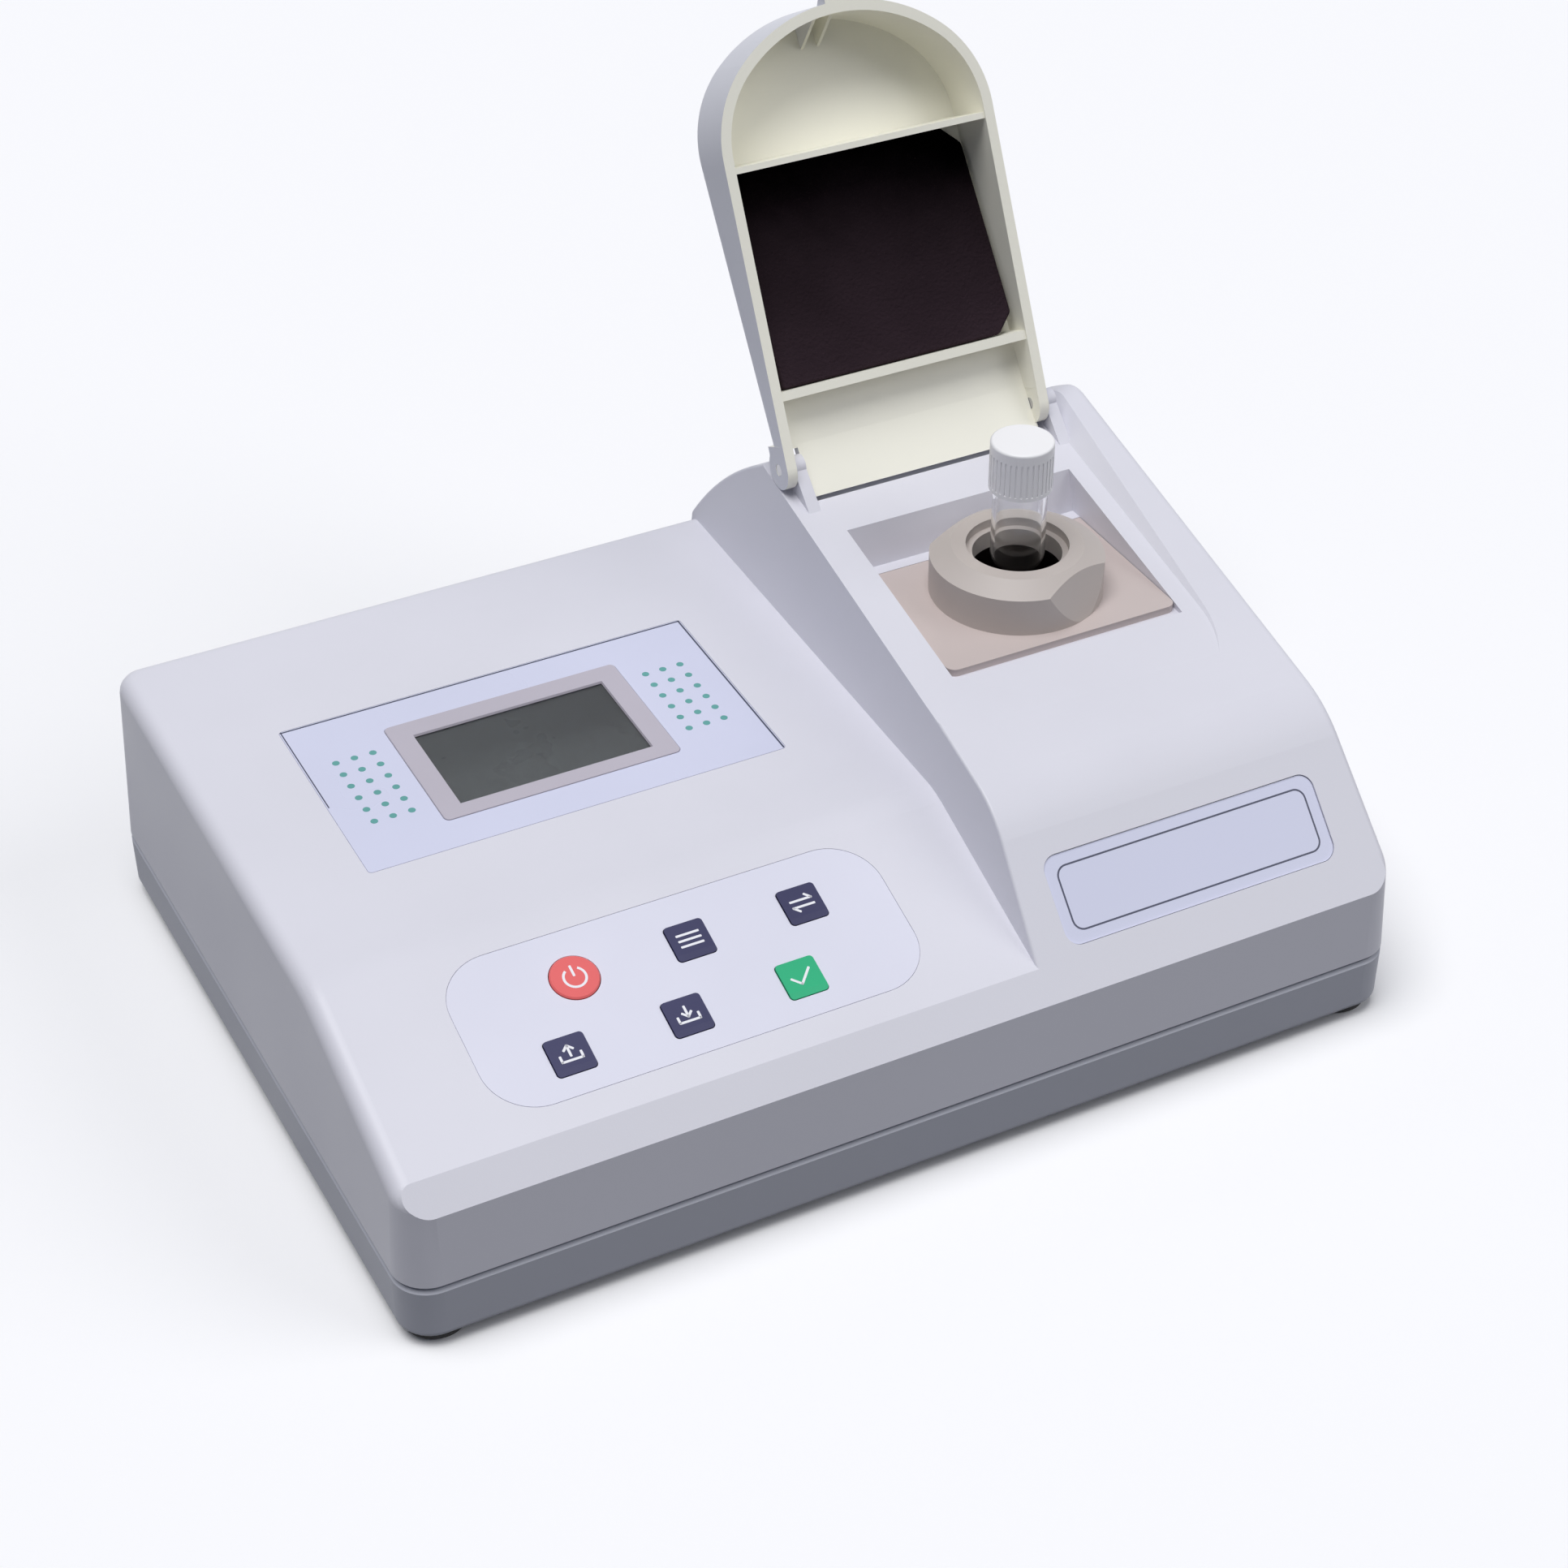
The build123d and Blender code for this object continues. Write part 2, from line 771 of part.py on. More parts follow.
def lcd_bezel():
    frame = slab(top_plane, (display_x, display_centre), (bezel_width, bezel_length), bezel_corner,
                 -overlay_thickness, bezel_height - overlay_thickness)
    frame = chamfer(frame.faces().sort_by(Axis.Z)[-1].outer_wire().edges(), bezel_height / 4)
    sight = (bezel_width - 2 * bezel_border, bezel_length - bezel_border - bezel_low_border)
    hole = Location((0, 0, -overlay_thickness)) * extrude(Rectangle(*sight), bezel_height, taper=-20)
    sight_y = display_centre - (bezel_border - bezel_low_border) / 2
    return frame - top_plane * Location((display_x, sight_y, 0)) * hole


def lcd_window():
    return slab(top_plane, (display_x, display_centre), window_size(0), bezel_corner / 2,
                -overlay_thickness - window_thickness, -overlay_thickness)


def lcd_module():
    """Display glass on its board, with four ears for the screws."""
    centre = (display_x, display_centre)
    glass_top = -overlay_thickness - window_thickness
    board_top = -wall - window_seat
    board_low = board_top - board_thickness
    board = (module_width + 4 * board_edge, module_length)
    back = (module_width, module_length - 2 * board_edge)
    body = slab(top_plane, centre, window_size(-window_margin / 2), bezel_corner / 2, board_low, glass_top)
    body += slab(top_plane, centre, board, bezel_corner, board_low, board_top)
    body += slab(top_plane, centre, back, bezel_corner, board_low - module_height, board_low)
    for place in module_holes():
        body -= disc(top_plane, place, board_screw_radius + slide_gap, board_low, board_top)
    return body


def keypad_overlay():
    sheet = slab(panel_plane, (display_x, keypad_centre), (keypad_width, keypad_length), keypad_corner,
                 -overlay_thickness, 0)
    for name in key_places():
        sheet -= key_solid(name, slide_gap, -wall, wall)
    return sheet


def key(name):
    """A key cap with a sloping lower edge, a flange under the shell and a stem for its switch."""
    low = -wall - travel_gap
    cap = key_solid(name, 0, low, key_proud)
    place = key_places()[name]
    if name != "key_power":
        edge = -key_size / 2
        drop = make_face(Polyline((edge, key_proud), (edge, key_proud - key_bevel_drop),
                                  (edge + key_bevel, key_proud), close=True))
        bar = extrude(Plane.YZ * drop, key_size, both=True)
        cap -= panel_plane * Location((*place, 0)) * bar
    else:
        cap = chamfer(cap.faces().sort_by(Axis.Z)[-1].edges(), key_bevel_drop)
    cap += key_solid(name, key_flange, low - key_flange_thickness, low)
    foot = low - key_flange_thickness - key_stem
    return cap + disc(panel_plane, place, key_stem_radius, foot, low)


def keypad_board():
    top = -wall - keyboard_drop
    board = slab(panel_plane, (keyboard_x, keyboard_centre), (keyboard_width, keyboard_length), bezel_corner,
                 top - board_thickness, top)
    for x, y in keyboard_holes():
        board -= disc(panel_plane, (x, y), board_screw_radius + slide_gap, top - board_thickness, top)
    return board


def dome_switches():
    """A pressed metal dome below each key."""
    domes = []
    base = -wall - keyboard_drop
    for place in key_places().values():
        dome = panel_plane * Location((*place, base)) * extrude(Circle(dome_radius), dome_height, taper=40)
        domes.append(dome)
    return Compound(domes)


def label_plate():
    return slab(strip_plane, (label_x, label_centre),
                (label_width - 2 * sheet_gap, label_length - 2 * sheet_gap),
                label_corner - sheet_gap, -label_depth, label_thickness - label_depth)


def lid_depth(up):
    """Depth of the lid's outer roof below the rim plane, at a distance up the lid."""
    return lid_depth_back + up * tan(lid_roof_slope)


def pad_depth(up):
    """Depth at which the pad lies level just over the collar once the lid is closed."""
    rise = collar_z + pad_gap - seat_origin_z - seat_gap * cos(seat_slope)
    return (rise + (up + hinge_down) * sin(seat_slope)) / cos(seat_slope)


def rib_plate(up, width):
    """A cross rib of the lid, from just below the rim down into the roof."""
    return lid_section([(up - width / 2, rib_drop), (up + width / 2, rib_drop),
                        (up + width / 2, lid_depth(up) - lid_roof_wall / 2),
                        (up - width / 2, lid_depth(up) - lid_roof_wall / 2)], lid_left + lid_wall / 2,
                       lid_left + lid_width - lid_wall / 2)


def lid_shell():
    """Arched lid with a sloping roof, two cross ribs, hinge ears, a tail and a lift tab."""
    reach = lid_length + outside
    deep = lid_depth(reach) + outside
    body = in_lid_down(lid_outline(0, rim_end), deep)
    keep = lid_section([(-outside, -rim_end), (reach, -rim_end), (reach, lid_depth(reach)),
                        (-outside, lid_depth(-outside))], lid_left - outside, lid_right + outside)
    body = body & keep
    roof = []
    for edge in body.edges():
        place = lid_plane.to_local_coords(edge @ 0.5)
        if place.Z < -lid_depth_back * 0.9 and place.Y > 0 and abs((edge % 0.5).dot(-lid_back)) < 0.5:
            roof.append(edge)
    body = fillet(roof, lid_edge_round)
    hollow = in_lid_down(lid_outline(lid_wall, outside), deep)
    hollow = hollow & lid_section([(-outside * 2, -rim_end), (reach, -rim_end),
                                   (reach, lid_depth(reach) - lid_roof_wall),
                                   (-outside * 2, lid_depth(-outside * 2) - lid_roof_wall)],
                                  lid_left - outside, lid_right + outside)
    ribs = rib_plate(lower_rib, lower_rib_width) + rib_plate(upper_rib, upper_rib_width)
    body = body - hollow
    body += ribs
    tail = [(rim_end, lid_depth(rim_end)), (0, lid_depth_back),
            (-tail_length, lid_depth_back - tail_length * tan(tail_slope)),
            (-tail_length, lid_depth_back - lid_roof_wall - tail_length * tan(tail_slope)),
            (0, lid_depth_back - lid_roof_wall), (rim_end, lid_depth(rim_end) - lid_roof_wall)]
    body += lid_section(tail, tail_left, tail_right + trough_gap / 2)
    for low in (lid_left, lid_right - lid_wall):
        ear = hinge_bar(hinge_back, low, low + lid_wall)
        cheek = lid_section([(-hinge_down, 0), (rim_end, 0), (rim_end, lid_depth_back),
                             (-rim_end, lid_depth_back), (-hinge_down, 2 * hinge_back)],
                            low, low + lid_wall)
        body += ear + cheek
        body -= hinge_bar(pin_radius + pin_gap, low, low + lid_wall)
    crown = lid_length - lid_wall
    tab = lid_section([(crown, 0), (lid_length + tab_out, 0), (lid_length + tab_out, tab_depth / 2),
                       (lid_length - lid_wall / 2, tab_depth), (crown, tab_depth)],
                      lid_middle - tab_width / 2, lid_middle + tab_width / 2)
    body += tab
    for side in (-1, 1):
        x = lid_middle + side * (tab_width - tab_rib_width) / 2
        low_up = crown - tab_rib
        body += lid_section([(low_up, lid_depth(low_up) - lid_roof_wall / 2),
                             (crown + lid_wall / 2, tab_depth),
                             (crown + lid_wall / 2, lid_depth(crown) - lid_roof_wall / 2)],
                            x - tab_rib_width / 2, x + tab_rib_width / 2)
    return body


def in_lid_down(face, depth):
    """A lid outline drawn from the rim plane towards the roof, narrowing as it goes."""
    return extrude(lid_plane * face, depth, dir=lid_back, taper=lid_draft)


def lid_pad():
    """Light-tight foam between the two ribs, with two corners cut off."""
    low = lower_rib + lower_rib_width / 2 + pad_gap
    high = upper_rib - upper_rib_width / 2 - pad_gap
    left = lid_left + lid_wall + pad_side_gap
    right = lid_left + lid_width - lid_wall - pad_side_gap
    outline = Polyline((left, low), (right - pad_chamfer, low), (right, low + pad_chamfer),
                       (right, high - pad_chamfer), (right - pad_chamfer, high), (left, high), close=True)
    body = extrude(lid_plane * make_face(outline), lid_depth(high), dir=lid_back)
    keep = lid_section([(low, pad_depth(low)), (high, pad_depth(high)),
                        (high, lid_depth(high) - lid_roof_wall - pad_gap),
                        (low, lid_depth(low) - lid_roof_wall - pad_gap)], left, right)
    return body & keep


def hinge_pins():
    """Each pin is fixed in its post and carries one ear of the lid."""
    left = hinge_bar(pin_radius, lid_left + pin_gap, left_post + post_width)
    right = hinge_bar(pin_radius, lid_right - lid_wall + pin_gap, right_post + post_width - pin_recess)
    return Compound([left, right])


def sample_plate():
    front = room_front_y + sheet_gap
    back = room_back_y - plate_back_gap - sheet_gap
    plate = block((room_left_x + sheet_gap, room_right_x - sheet_gap), (front, back),
                  (plate_z - plate_thickness, plate_z))
    uprights = [edge for edge in plate.edges().filter_by(Axis.Z) if (edge @ 0.5).Y < well_y]
    plate = fillet(uprights, plate_corner)
    return plate - upright(well_x, well_y, neck_radius + slide_gap, plate_z - plate_thickness, plate_z)


def sample_collar():
    """Collar with a coned top, a lipped bore and two leaning flats for a spanner."""
    cone_z = collar_z - collar_cone_height
    profile = Polyline((neck_radius, plate_z), (collar_radius, plate_z), (collar_radius, cone_z),
                       (collar_top_radius, collar_z), (collar_lip_radius, collar_z),
                       (collar_lip_radius, collar_z - collar_lip_depth),
                       (bore_radius, collar_z - collar_lip_depth),
                       (bore_radius, plate_z + collar_neck), (neck_radius, plate_z + collar_neck), close=True)
    body = Location((well_x, well_y, 0)) * revolve(Plane.XZ * make_face(profile), Axis.Z)
    for turn in (flat_turn, flat_turn + 180):
        frame = Location((well_x, well_y, plate_z), (0, 0, turn))
        frame = frame * Location((collar_radius, 0, 0), (0, -flat_lean, 0))
        body -= frame * Box(collar_radius, 2 * collar_radius, 4 * collar_height,
                            align=(Align.MIN, Align.CENTER, Align.CENTER))
    return body


def cell_well():
    """Black block hung under the compartment floor: bore for the vial, cross bore for the beam."""
    half = well_block / 2
    body = block((well_x - half, well_x + half), (well_y - half, well_y + half), (block_low_z, block_top_z))
    body = fillet(body.edges().filter_by(Axis.Z), plate_corner)
    body += upright(well_x, well_y, neck_radius, block_top_z, plate_z + collar_neck - slide_gap)
    body -= upright(well_x, well_y, bore_radius, spring_low_z, collar_z)
    beam = Plane(origin=(well_x - half, well_y, beam_z), x_dir=(0, 1, 0), z_dir=(1, 0, 0))
    return body - beam * extrude(Circle(beam_radius), well_block)


def cell_carrier():
    """The cup that the vial stands in. The closing lid pushes vial and cup down the well."""
    body = upright(well_x, well_y, bore_radius - slide_gap, cup_low_z, glass_low_z + cup_depth)
    return body - upright(well_x, well_y, vial_radius + slide_gap, glass_low_z, glass_low_z + cup_depth)


def cell_spring():
    wire = spring_wire / 2
    pitch = (cup_low_z - spring_low_z - spring_wire) / spring_turns
    helix = Helix(pitch, pitch * spring_turns, spring_radius, center=(well_x, well_y, spring_low_z + wire))
    section = Plane(origin=helix @ 0, z_dir=helix % 0) * Circle(wire)
    return sweep(section, path=helix)


def vial_glass():
    outer = upright(well_x, well_y, vial_radius, glass_low_z, glass_top_z)
    outer = fillet(outer.edges().group_by(Axis.Z)[0], vial_radius / 2)
    inner = upright(well_x, well_y, vial_radius - vial_wall, glass_low_z + vial_base, glass_top_z + vial_wall)
    return outer - fillet(inner.edges().group_by(Axis.Z)[0], vial_radius / 3)


def vial_cap():
    """Screw cap with a finely ribbed skirt."""
    low = cap_top_z - cap_height
    body = upright(well_x, well_y, cap_radius, low, cap_top_z)
    body = fillet(body.edges().group_by(Axis.Z)[-1], cap_top / 3)
    notch = Location((cap_radius, 0, 0)) * Box(2 * cap_rib_depth, cap_rib_depth * 2, cap_height - 2 * cap_top)
    cuts = PolarLocations(0, cap_ribs) * notch
    body -= Location((well_x, well_y, (low + cap_top_z) / 2 - cap_top / 2)) * Compound(cuts)
    return body - upright(well_x, well_y, vial_radius + travel_gap, low, cap_top_z - cap_top)


def cap_liner():
    return upright(well_x, well_y, vial_radius, glass_top_z, cap_top_z - cap_top)


def beside_well(side, radius, low, high):
    """A round bar on the beam's line, measured outwards from the well block's side."""
    start = well_x + side * (well_block / 2 + low)
    frame = Plane(origin=(start, well_y, beam_z), x_dir=(0, 1, 0), z_dir=(side, 0, 0))
    return frame * extrude(Circle(radius), high - low)


def beside_board(side, low, high):
    x = sorted([well_x + side * (well_block / 2 + low), well_x + side * (well_block / 2 + high)])
    return block(x, (well_y - optics_board / 2, well_y + optics_board / 2),
                 (beam_z - optics_board / 2, beam_z + optics_board / 2))


def lens_tube():
    body = beside_well(-1, tube_radius, 0, tube_length)
    body += beside_well(-1, tube_radius + tube_flange, tube_length - tube_flange, tube_length)
    body -= beside_well(-1, beam_radius, 0, tube_length)
    return body - beside_well(-1, lens_radius, 0, tube_length - tube_flange)


def lens():
    """A lens with one domed side, held in the tube against the well block."""
    disc_part = beside_well(-1, lens_radius, filter_thickness, filter_thickness + lens_thickness)
    rim = disc_part.faces().sort_by(Axis.X)[0].edges()
    return fillet(rim, lens_thickness / 2)


def beam_filter():
    return beside_well(-1, lens_radius, 0, filter_thickness)


def lamp_board():
    return beside_board(-1, tube_length, tube_length + board_thickness)


def lamp():
    body = beside_well(-1, beam_radius - slide_gap, tube_length - lamp_length, tube_length)
    return fillet(body.faces().sort_by(Axis.X)[-1].edges(), (beam_radius - slide_gap) * 0.8)


def detector_board():
    return beside_board(1, detector_length, detector_length + board_thickness)


def photodiode():
    """A metal can detector on its board."""
    can = beside_well(1, beam_radius + 1, 0, detector_length)
    return can - beside_well(1, beam_radius - 1, 0, 1)


def main_board():
    board = slab(Plane.XY, (main_x, main_y), (main_width, main_length), bezel_corner, board_z, board_top_z)
    for x, y in board_holes():
        board -= upright(x, y, board_screw_radius + slide_gap, board_z, board_top_z)
    return board


def on_board(x, y, width, length, height):
    """A flat part on the main board, placed from the board's middle."""
    return slab(Plane.XY, (main_x + x, main_y + y), (width, length), slide_gap, board_top_z,
                board_top_z + height)


def board_parts():
    """A processor, a row of smaller chips, the cable's socket and three capacitors."""
    half_x = main_width / 2
    half_y = main_length / 2
    solids = [on_board(-half_x / 2, 0, chip_size, chip_size, chip_height),
              on_board(socket_shift, -half_y / 5, ribbon_width, socket_length, socket_height)]
    for step in (-1, 0, 1):
        row_x = step * half_x / 4
        solids.append(on_board(row_x, -half_y / 2, small_chip_size, small_chip_size, chip_height))
        solids.append(upright(main_x + half_x / 2 + row_x / 1.5, main_y + half_y / 2, capacitor_radius,
                              board_top_z, board_top_z + capacitor_height))
    return Compound(solids)


def buzzer():
    x = main_x - main_width / 2 + buzzer_inset_x
    y = main_y - main_length / 2 + buzzer_inset_y
    top_z = board_top_z + buzzer_height
    return upright(x, y, buzzer_radius, board_top_z, top_z) - upright(x, y, buzzer_hole, top_z - wall, top_z)


def standoffs():
    pillars = []
    for x, y in board_holes():
        pillar = disc(Plane.XY, (x, y), standoff_radius, board_z - standoff_height, board_z)
        pillars.append(pillar - upright(x, y, board_screw_radius, board_z - standoff_height, board_z))
    return Compound(pillars)


def board_screw(plane, x, y, head, length):
    """A small screw whose head lies on the given height and points into the board."""
    body = disc(plane, (x, y), board_head_radius, head, head + board_head_height)
    body += disc(plane, (x, y), board_screw_radius, head - length, head)
    place = plane * Location((x, y, head + board_head_height))
    slot = place * Box(2 * board_head_radius, slot_width, board_head_height)
    return body - slot


def board_screws():
    reach = board_thickness + board_screw_bite
    screws = [board_screw(Plane.XY, x, y, board_top_z, reach) for x, y in board_holes()]
    hung = [(panel_plane, keyboard_holes(), keyboard_drop), (top_plane, module_holes(), window_seat)]
    for plane, places, drop in hung:
        low = -wall - drop - board_thickness
        for place in places:
            body = disc(plane, place, board_head_radius, low - board_head_height, low)
            screws.append(body + disc(plane, place, board_screw_radius, low, low + board_thickness + drop))
    return Compound(screws)


def dc_jack():
    """Power socket: square body on the board, round front in the case's back wall."""
    front = -wall * 1.5
    bore_end = -draft_back - jack_depth
    body = back_box(jack_x, jack_z, jack_width, jack_height, front - jack_length, front)
    body += back_cylinder(jack_x, jack_z, jack_bore + jack_lip, front - jack_lip, -draft_back)
    body -= back_cylinder(jack_x, jack_z, jack_bore, bore_end, outside)
    return body + back_cylinder(jack_x, jack_z, jack_pin, bore_end - jack_lip, -draft_back - jack_lip)


def data_port():
    """Data socket: a metal shell with its mouth in the case's back wall and a tongue inside."""
    mouth = -draft_back
    body = back_box(port_x, port_z, port_width, port_height, mouth - port_length, mouth)
    body -= back_box(port_x, port_z, port_width - 2 * port_shell, port_height - 2 * port_shell,
                     mouth - port_depth, outside)
    return body + back_box(port_x, port_z, port_tongue, port_tongue / 2, mouth - port_depth - port_shell,
                           mouth - port_shell)


def ribbon_cable():
    """Flat cable that rises from its socket on the main board to the display module."""
    y_low = main_y - main_length / 10
    y_high = bend_y + display_centre
    z_low = board_top_z + socket_height
    high = top_plane.from_local_coords(
        Vector(0, display_centre, -wall - window_seat - board_thickness - module_height))
    path = FilletPolyline((y_low, z_low), (y_low, z_low + ribbon_rise), (y_high, high.Z - ribbon_rise),
                          (y_high, high.Z - slide_gap), radius=ribbon_round)
    strip = trace(path, ribbon_thickness)
    x = main_x + socket_shift
    return across(strip, x - ribbon_width / 2, x + ribbon_width / 2)


def build_parts():
    parts = {
        "lower_shell": lower_shell(),
        "upper_shell": upper_shell(),
        "window_overlay": window_overlay(),
        "lcd_bezel": lcd_bezel(),
        "lcd_window": lcd_window(),
        "lcd_module": lcd_module(),
        "keypad_overlay": keypad_overlay(),
        "keypad_board": keypad_board(),
        "dome_switches": dome_switches(),
        "label_plate": label_plate(),
        "lid_shell": lid_shell(),
        "lid_pad": lid_pad(),
        "hinge_pins": hinge_pins(),
        "sample_plate": sample_plate(),
        "sample_collar": sample_collar(),
        "cell_well": cell_well(),
        "cell_carrier": cell_carrier(),
        "cell_spring": cell_spring(),
        "vial_glass": vial_glass(),
        "vial_cap": vial_cap(),
        "cap_liner": cap_liner(),
        "lens_tube": lens_tube(),
        "lens": lens(),
        "beam_filter": beam_filter(),
        "lamp_board": lamp_board(),
        "lamp": lamp(),
        "detector_board": detector_board(),
        "photodiode": photodiode(),
        "main_board": main_board(),
        "board_parts": board_parts(),
        "buzzer": buzzer(),
        "standoffs": standoffs(),
        "board_screws": board_screws(),
        "case_screws": case_screws(),
        "feet": feet(),
        "dc_jack": dc_jack(),
        "data_port": data_port(),
        "ribbon_cable": ribbon_cable(),
    }
    for name in key_places():
        parts[name] = key(name)
    return parts


def main():
    os.makedirs("parts", exist_ok=True)
    parts = build_parts()
    box = Compound(list(parts.values())).bounding_box()
    home = Location((-box.center().X, -box.center().Y, -box.min.Z))
    for name, shape in parts.items():
        export_step(home * shape, f"parts/{name}.step")
    print("moved by", home.position)
    print("size", box.size)


main()
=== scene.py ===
import json
import math

import bpy
from bpy.props import FloatProperty, FloatVectorProperty, IntProperty, PointerProperty
from mathutils import Matrix, Vector

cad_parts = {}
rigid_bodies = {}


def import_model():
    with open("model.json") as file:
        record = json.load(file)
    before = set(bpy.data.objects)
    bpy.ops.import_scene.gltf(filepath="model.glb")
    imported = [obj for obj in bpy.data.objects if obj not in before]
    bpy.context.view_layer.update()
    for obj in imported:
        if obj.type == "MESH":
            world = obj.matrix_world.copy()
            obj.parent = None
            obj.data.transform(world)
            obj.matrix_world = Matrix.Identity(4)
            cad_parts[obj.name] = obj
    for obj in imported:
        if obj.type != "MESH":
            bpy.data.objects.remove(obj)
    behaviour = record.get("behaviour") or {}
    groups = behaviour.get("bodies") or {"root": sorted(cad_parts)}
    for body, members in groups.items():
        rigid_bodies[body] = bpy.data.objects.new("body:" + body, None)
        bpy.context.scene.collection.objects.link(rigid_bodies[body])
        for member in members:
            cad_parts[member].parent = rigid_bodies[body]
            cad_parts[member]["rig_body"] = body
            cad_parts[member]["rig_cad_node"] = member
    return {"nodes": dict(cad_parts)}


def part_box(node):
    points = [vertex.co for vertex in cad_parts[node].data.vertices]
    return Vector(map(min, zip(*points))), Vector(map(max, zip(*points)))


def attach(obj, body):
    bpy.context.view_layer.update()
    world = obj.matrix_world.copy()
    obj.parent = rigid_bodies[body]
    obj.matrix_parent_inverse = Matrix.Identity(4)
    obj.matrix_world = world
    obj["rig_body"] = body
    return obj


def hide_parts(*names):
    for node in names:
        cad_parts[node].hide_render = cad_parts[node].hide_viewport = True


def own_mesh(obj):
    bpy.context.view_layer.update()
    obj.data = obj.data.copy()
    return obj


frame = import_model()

# Dresses the frame of a bench photometer: mouldings, printed sheets, keys, lid and sample well.
# Lengths are metres. X runs across the case, Y from front to back and Z up.

bl_info = {
    "name": "Bench photometer",
    "version": (1, 0, 0),
    "blender": (4, 5, 0),
    "location": "3D View > Sidebar > Photometer",
    "description": "Prints, pad, symbols and finishes of a bench photometer",
    "category": "Object",
}

MM = 0.001
QUARTER = math.pi / 2
MERGE = 0.001 * MM                  # points nearer than this become one
FACING_UP = 0.3                     # least upward part of the normal of a top face

PRINT_THICK = 0.03 * MM
STROKE_ROUND = 0.3                  # a stroke's corner radius, as a share of its width
ARC_STEPS = 28
DOT_SIDES = 20
LEFT_STOP = 0.1                     # how far below the middle the display's left line ends, as a share
LEFT_WIDTH = 0.7                    # that line's width, as a share of the others'
SYMBOL_DROP = 0.45 * MM             # from a key's middle down to its symbol's
ARROW_TOP = 2.8 * MM

GRAIN = 2600.0                      # scale of a moulding's spark texture
FILM_GRAIN = 1500.0
METAL_GRAIN = 4000.0
DRIFT = 14.0                        # scale of a moulding's slow change of colour
MARK_SHADE = 2                      # how dark a handling mark is, for the strength of the marks
MARK_COVER = 4                      # how much of the colour it hides
GLOSS_SPREAD = 0.08                 # how far roughness goes up and down
SMEAR = 2.5                         # how much rougher glass is in a smear
MIX_SHARE, MIX_FIRST, MIX_SECOND, MIX_RESULT = 0, 6, 7, 2    # the colour sockets of a Mix node

SCREEN_SHADED = (1, 0.8, 0)         # the way to the display's corner with painted shade
SCREEN_FADE = 12 * MM               # how far before the middle that painted shade starts
LIP_FADE = (1.3 * MM, 0.9 * MM)     # below the parting line, where the painted highlight on the lip starts and is full
LID_LEAN = math.radians(26)         # how far the open lid leans back
LID_EYE = 15 * MM                   # in front of its rim: what faces away from there is outside
LID_CROWN = 100 * MM                # up the lid from its lowest point to the start of its crown
SKIN_FADE = (1 * MM, 3 * MM)        # where its inner colour ends and its outer one is full
RIB_PROUD = 0.71 * MM               # how far the tab's ribs stand out of the lid's crown
RIB_END = 0.1 * MM                  # how deep the ends that stand out are picked
FOAM_EDGE = 0.9 * MM                # how far the pad's cut edges are softened
SENSOR_WIDTH = 36                   # of the camera, in millimetres


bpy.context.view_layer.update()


def colour(name, text, default):
    return FloatVectorProperty(name=name, description=text, default=default, subtype="COLOR", size=3,
                               min=0, max=1)


def length(name, text, default):
    return FloatProperty(name=name, description=text, default=default, unit="LENGTH", min=0, precision=5)


def angle(name, text, degrees):
    return FloatProperty(name=name, description=text, default=math.radians(degrees), subtype="ANGLE")


def amount(name, text, default):
    return FloatProperty(name=name, description=text, default=default)


class StudioSettings(bpy.types.PropertyGroup):
    camera_place: FloatVectorProperty(
        name="Camera place", description="Where the camera stands", unit="LENGTH",
        default=(-0.2982, -0.60703, 0.5445))
    camera_turn: angle("Camera turn", "How far the camera stands round from the front", -27.345)
    camera_tilt: angle("Camera tilt", "How far the camera looks down", 36.395)
    camera_lens: amount("Lens", "Focal length on a 36 mm sensor, in millimetres", 75.51)
    sky: colour("Sky", "Light that comes from all round", (0.130, 0.143, 0.176))
    sun_level: amount("Overhead light", "Strength of the broad overhead light", 2.22)
    sun_spread: angle("Light spread", "Angle that each of the two lights fills", 40)
    sun_forward: angle("Overhead lean", "How far the overhead light comes from the front", 4)
    sun_aside: angle("Overhead side lean", "How far the overhead light comes from the left", 13)
    fill_level: amount("Fill light", "Strength of the soft light from the front right", 0.68)
    fill_turn: angle("Fill turn", "How far the fill light stands round from the right to the front", 38)
    fill_height: angle("Fill height", "How high the fill light stands", 37)
    floor_seen: colour("Floor", "Floor as the camera sees it", (0.995, 0.99, 0.998))
    backdrop_seen: colour("Backdrop", "Backdrop as the camera sees it", (0.935, 0.945, 0.965))
    floor_given: colour("Floor bounce", "Colour of the light that the floor gives back", (0.05, 0.054, 0.066))
    floor_reach: length("Floor reach", "Half the width of the floor", 30.0)


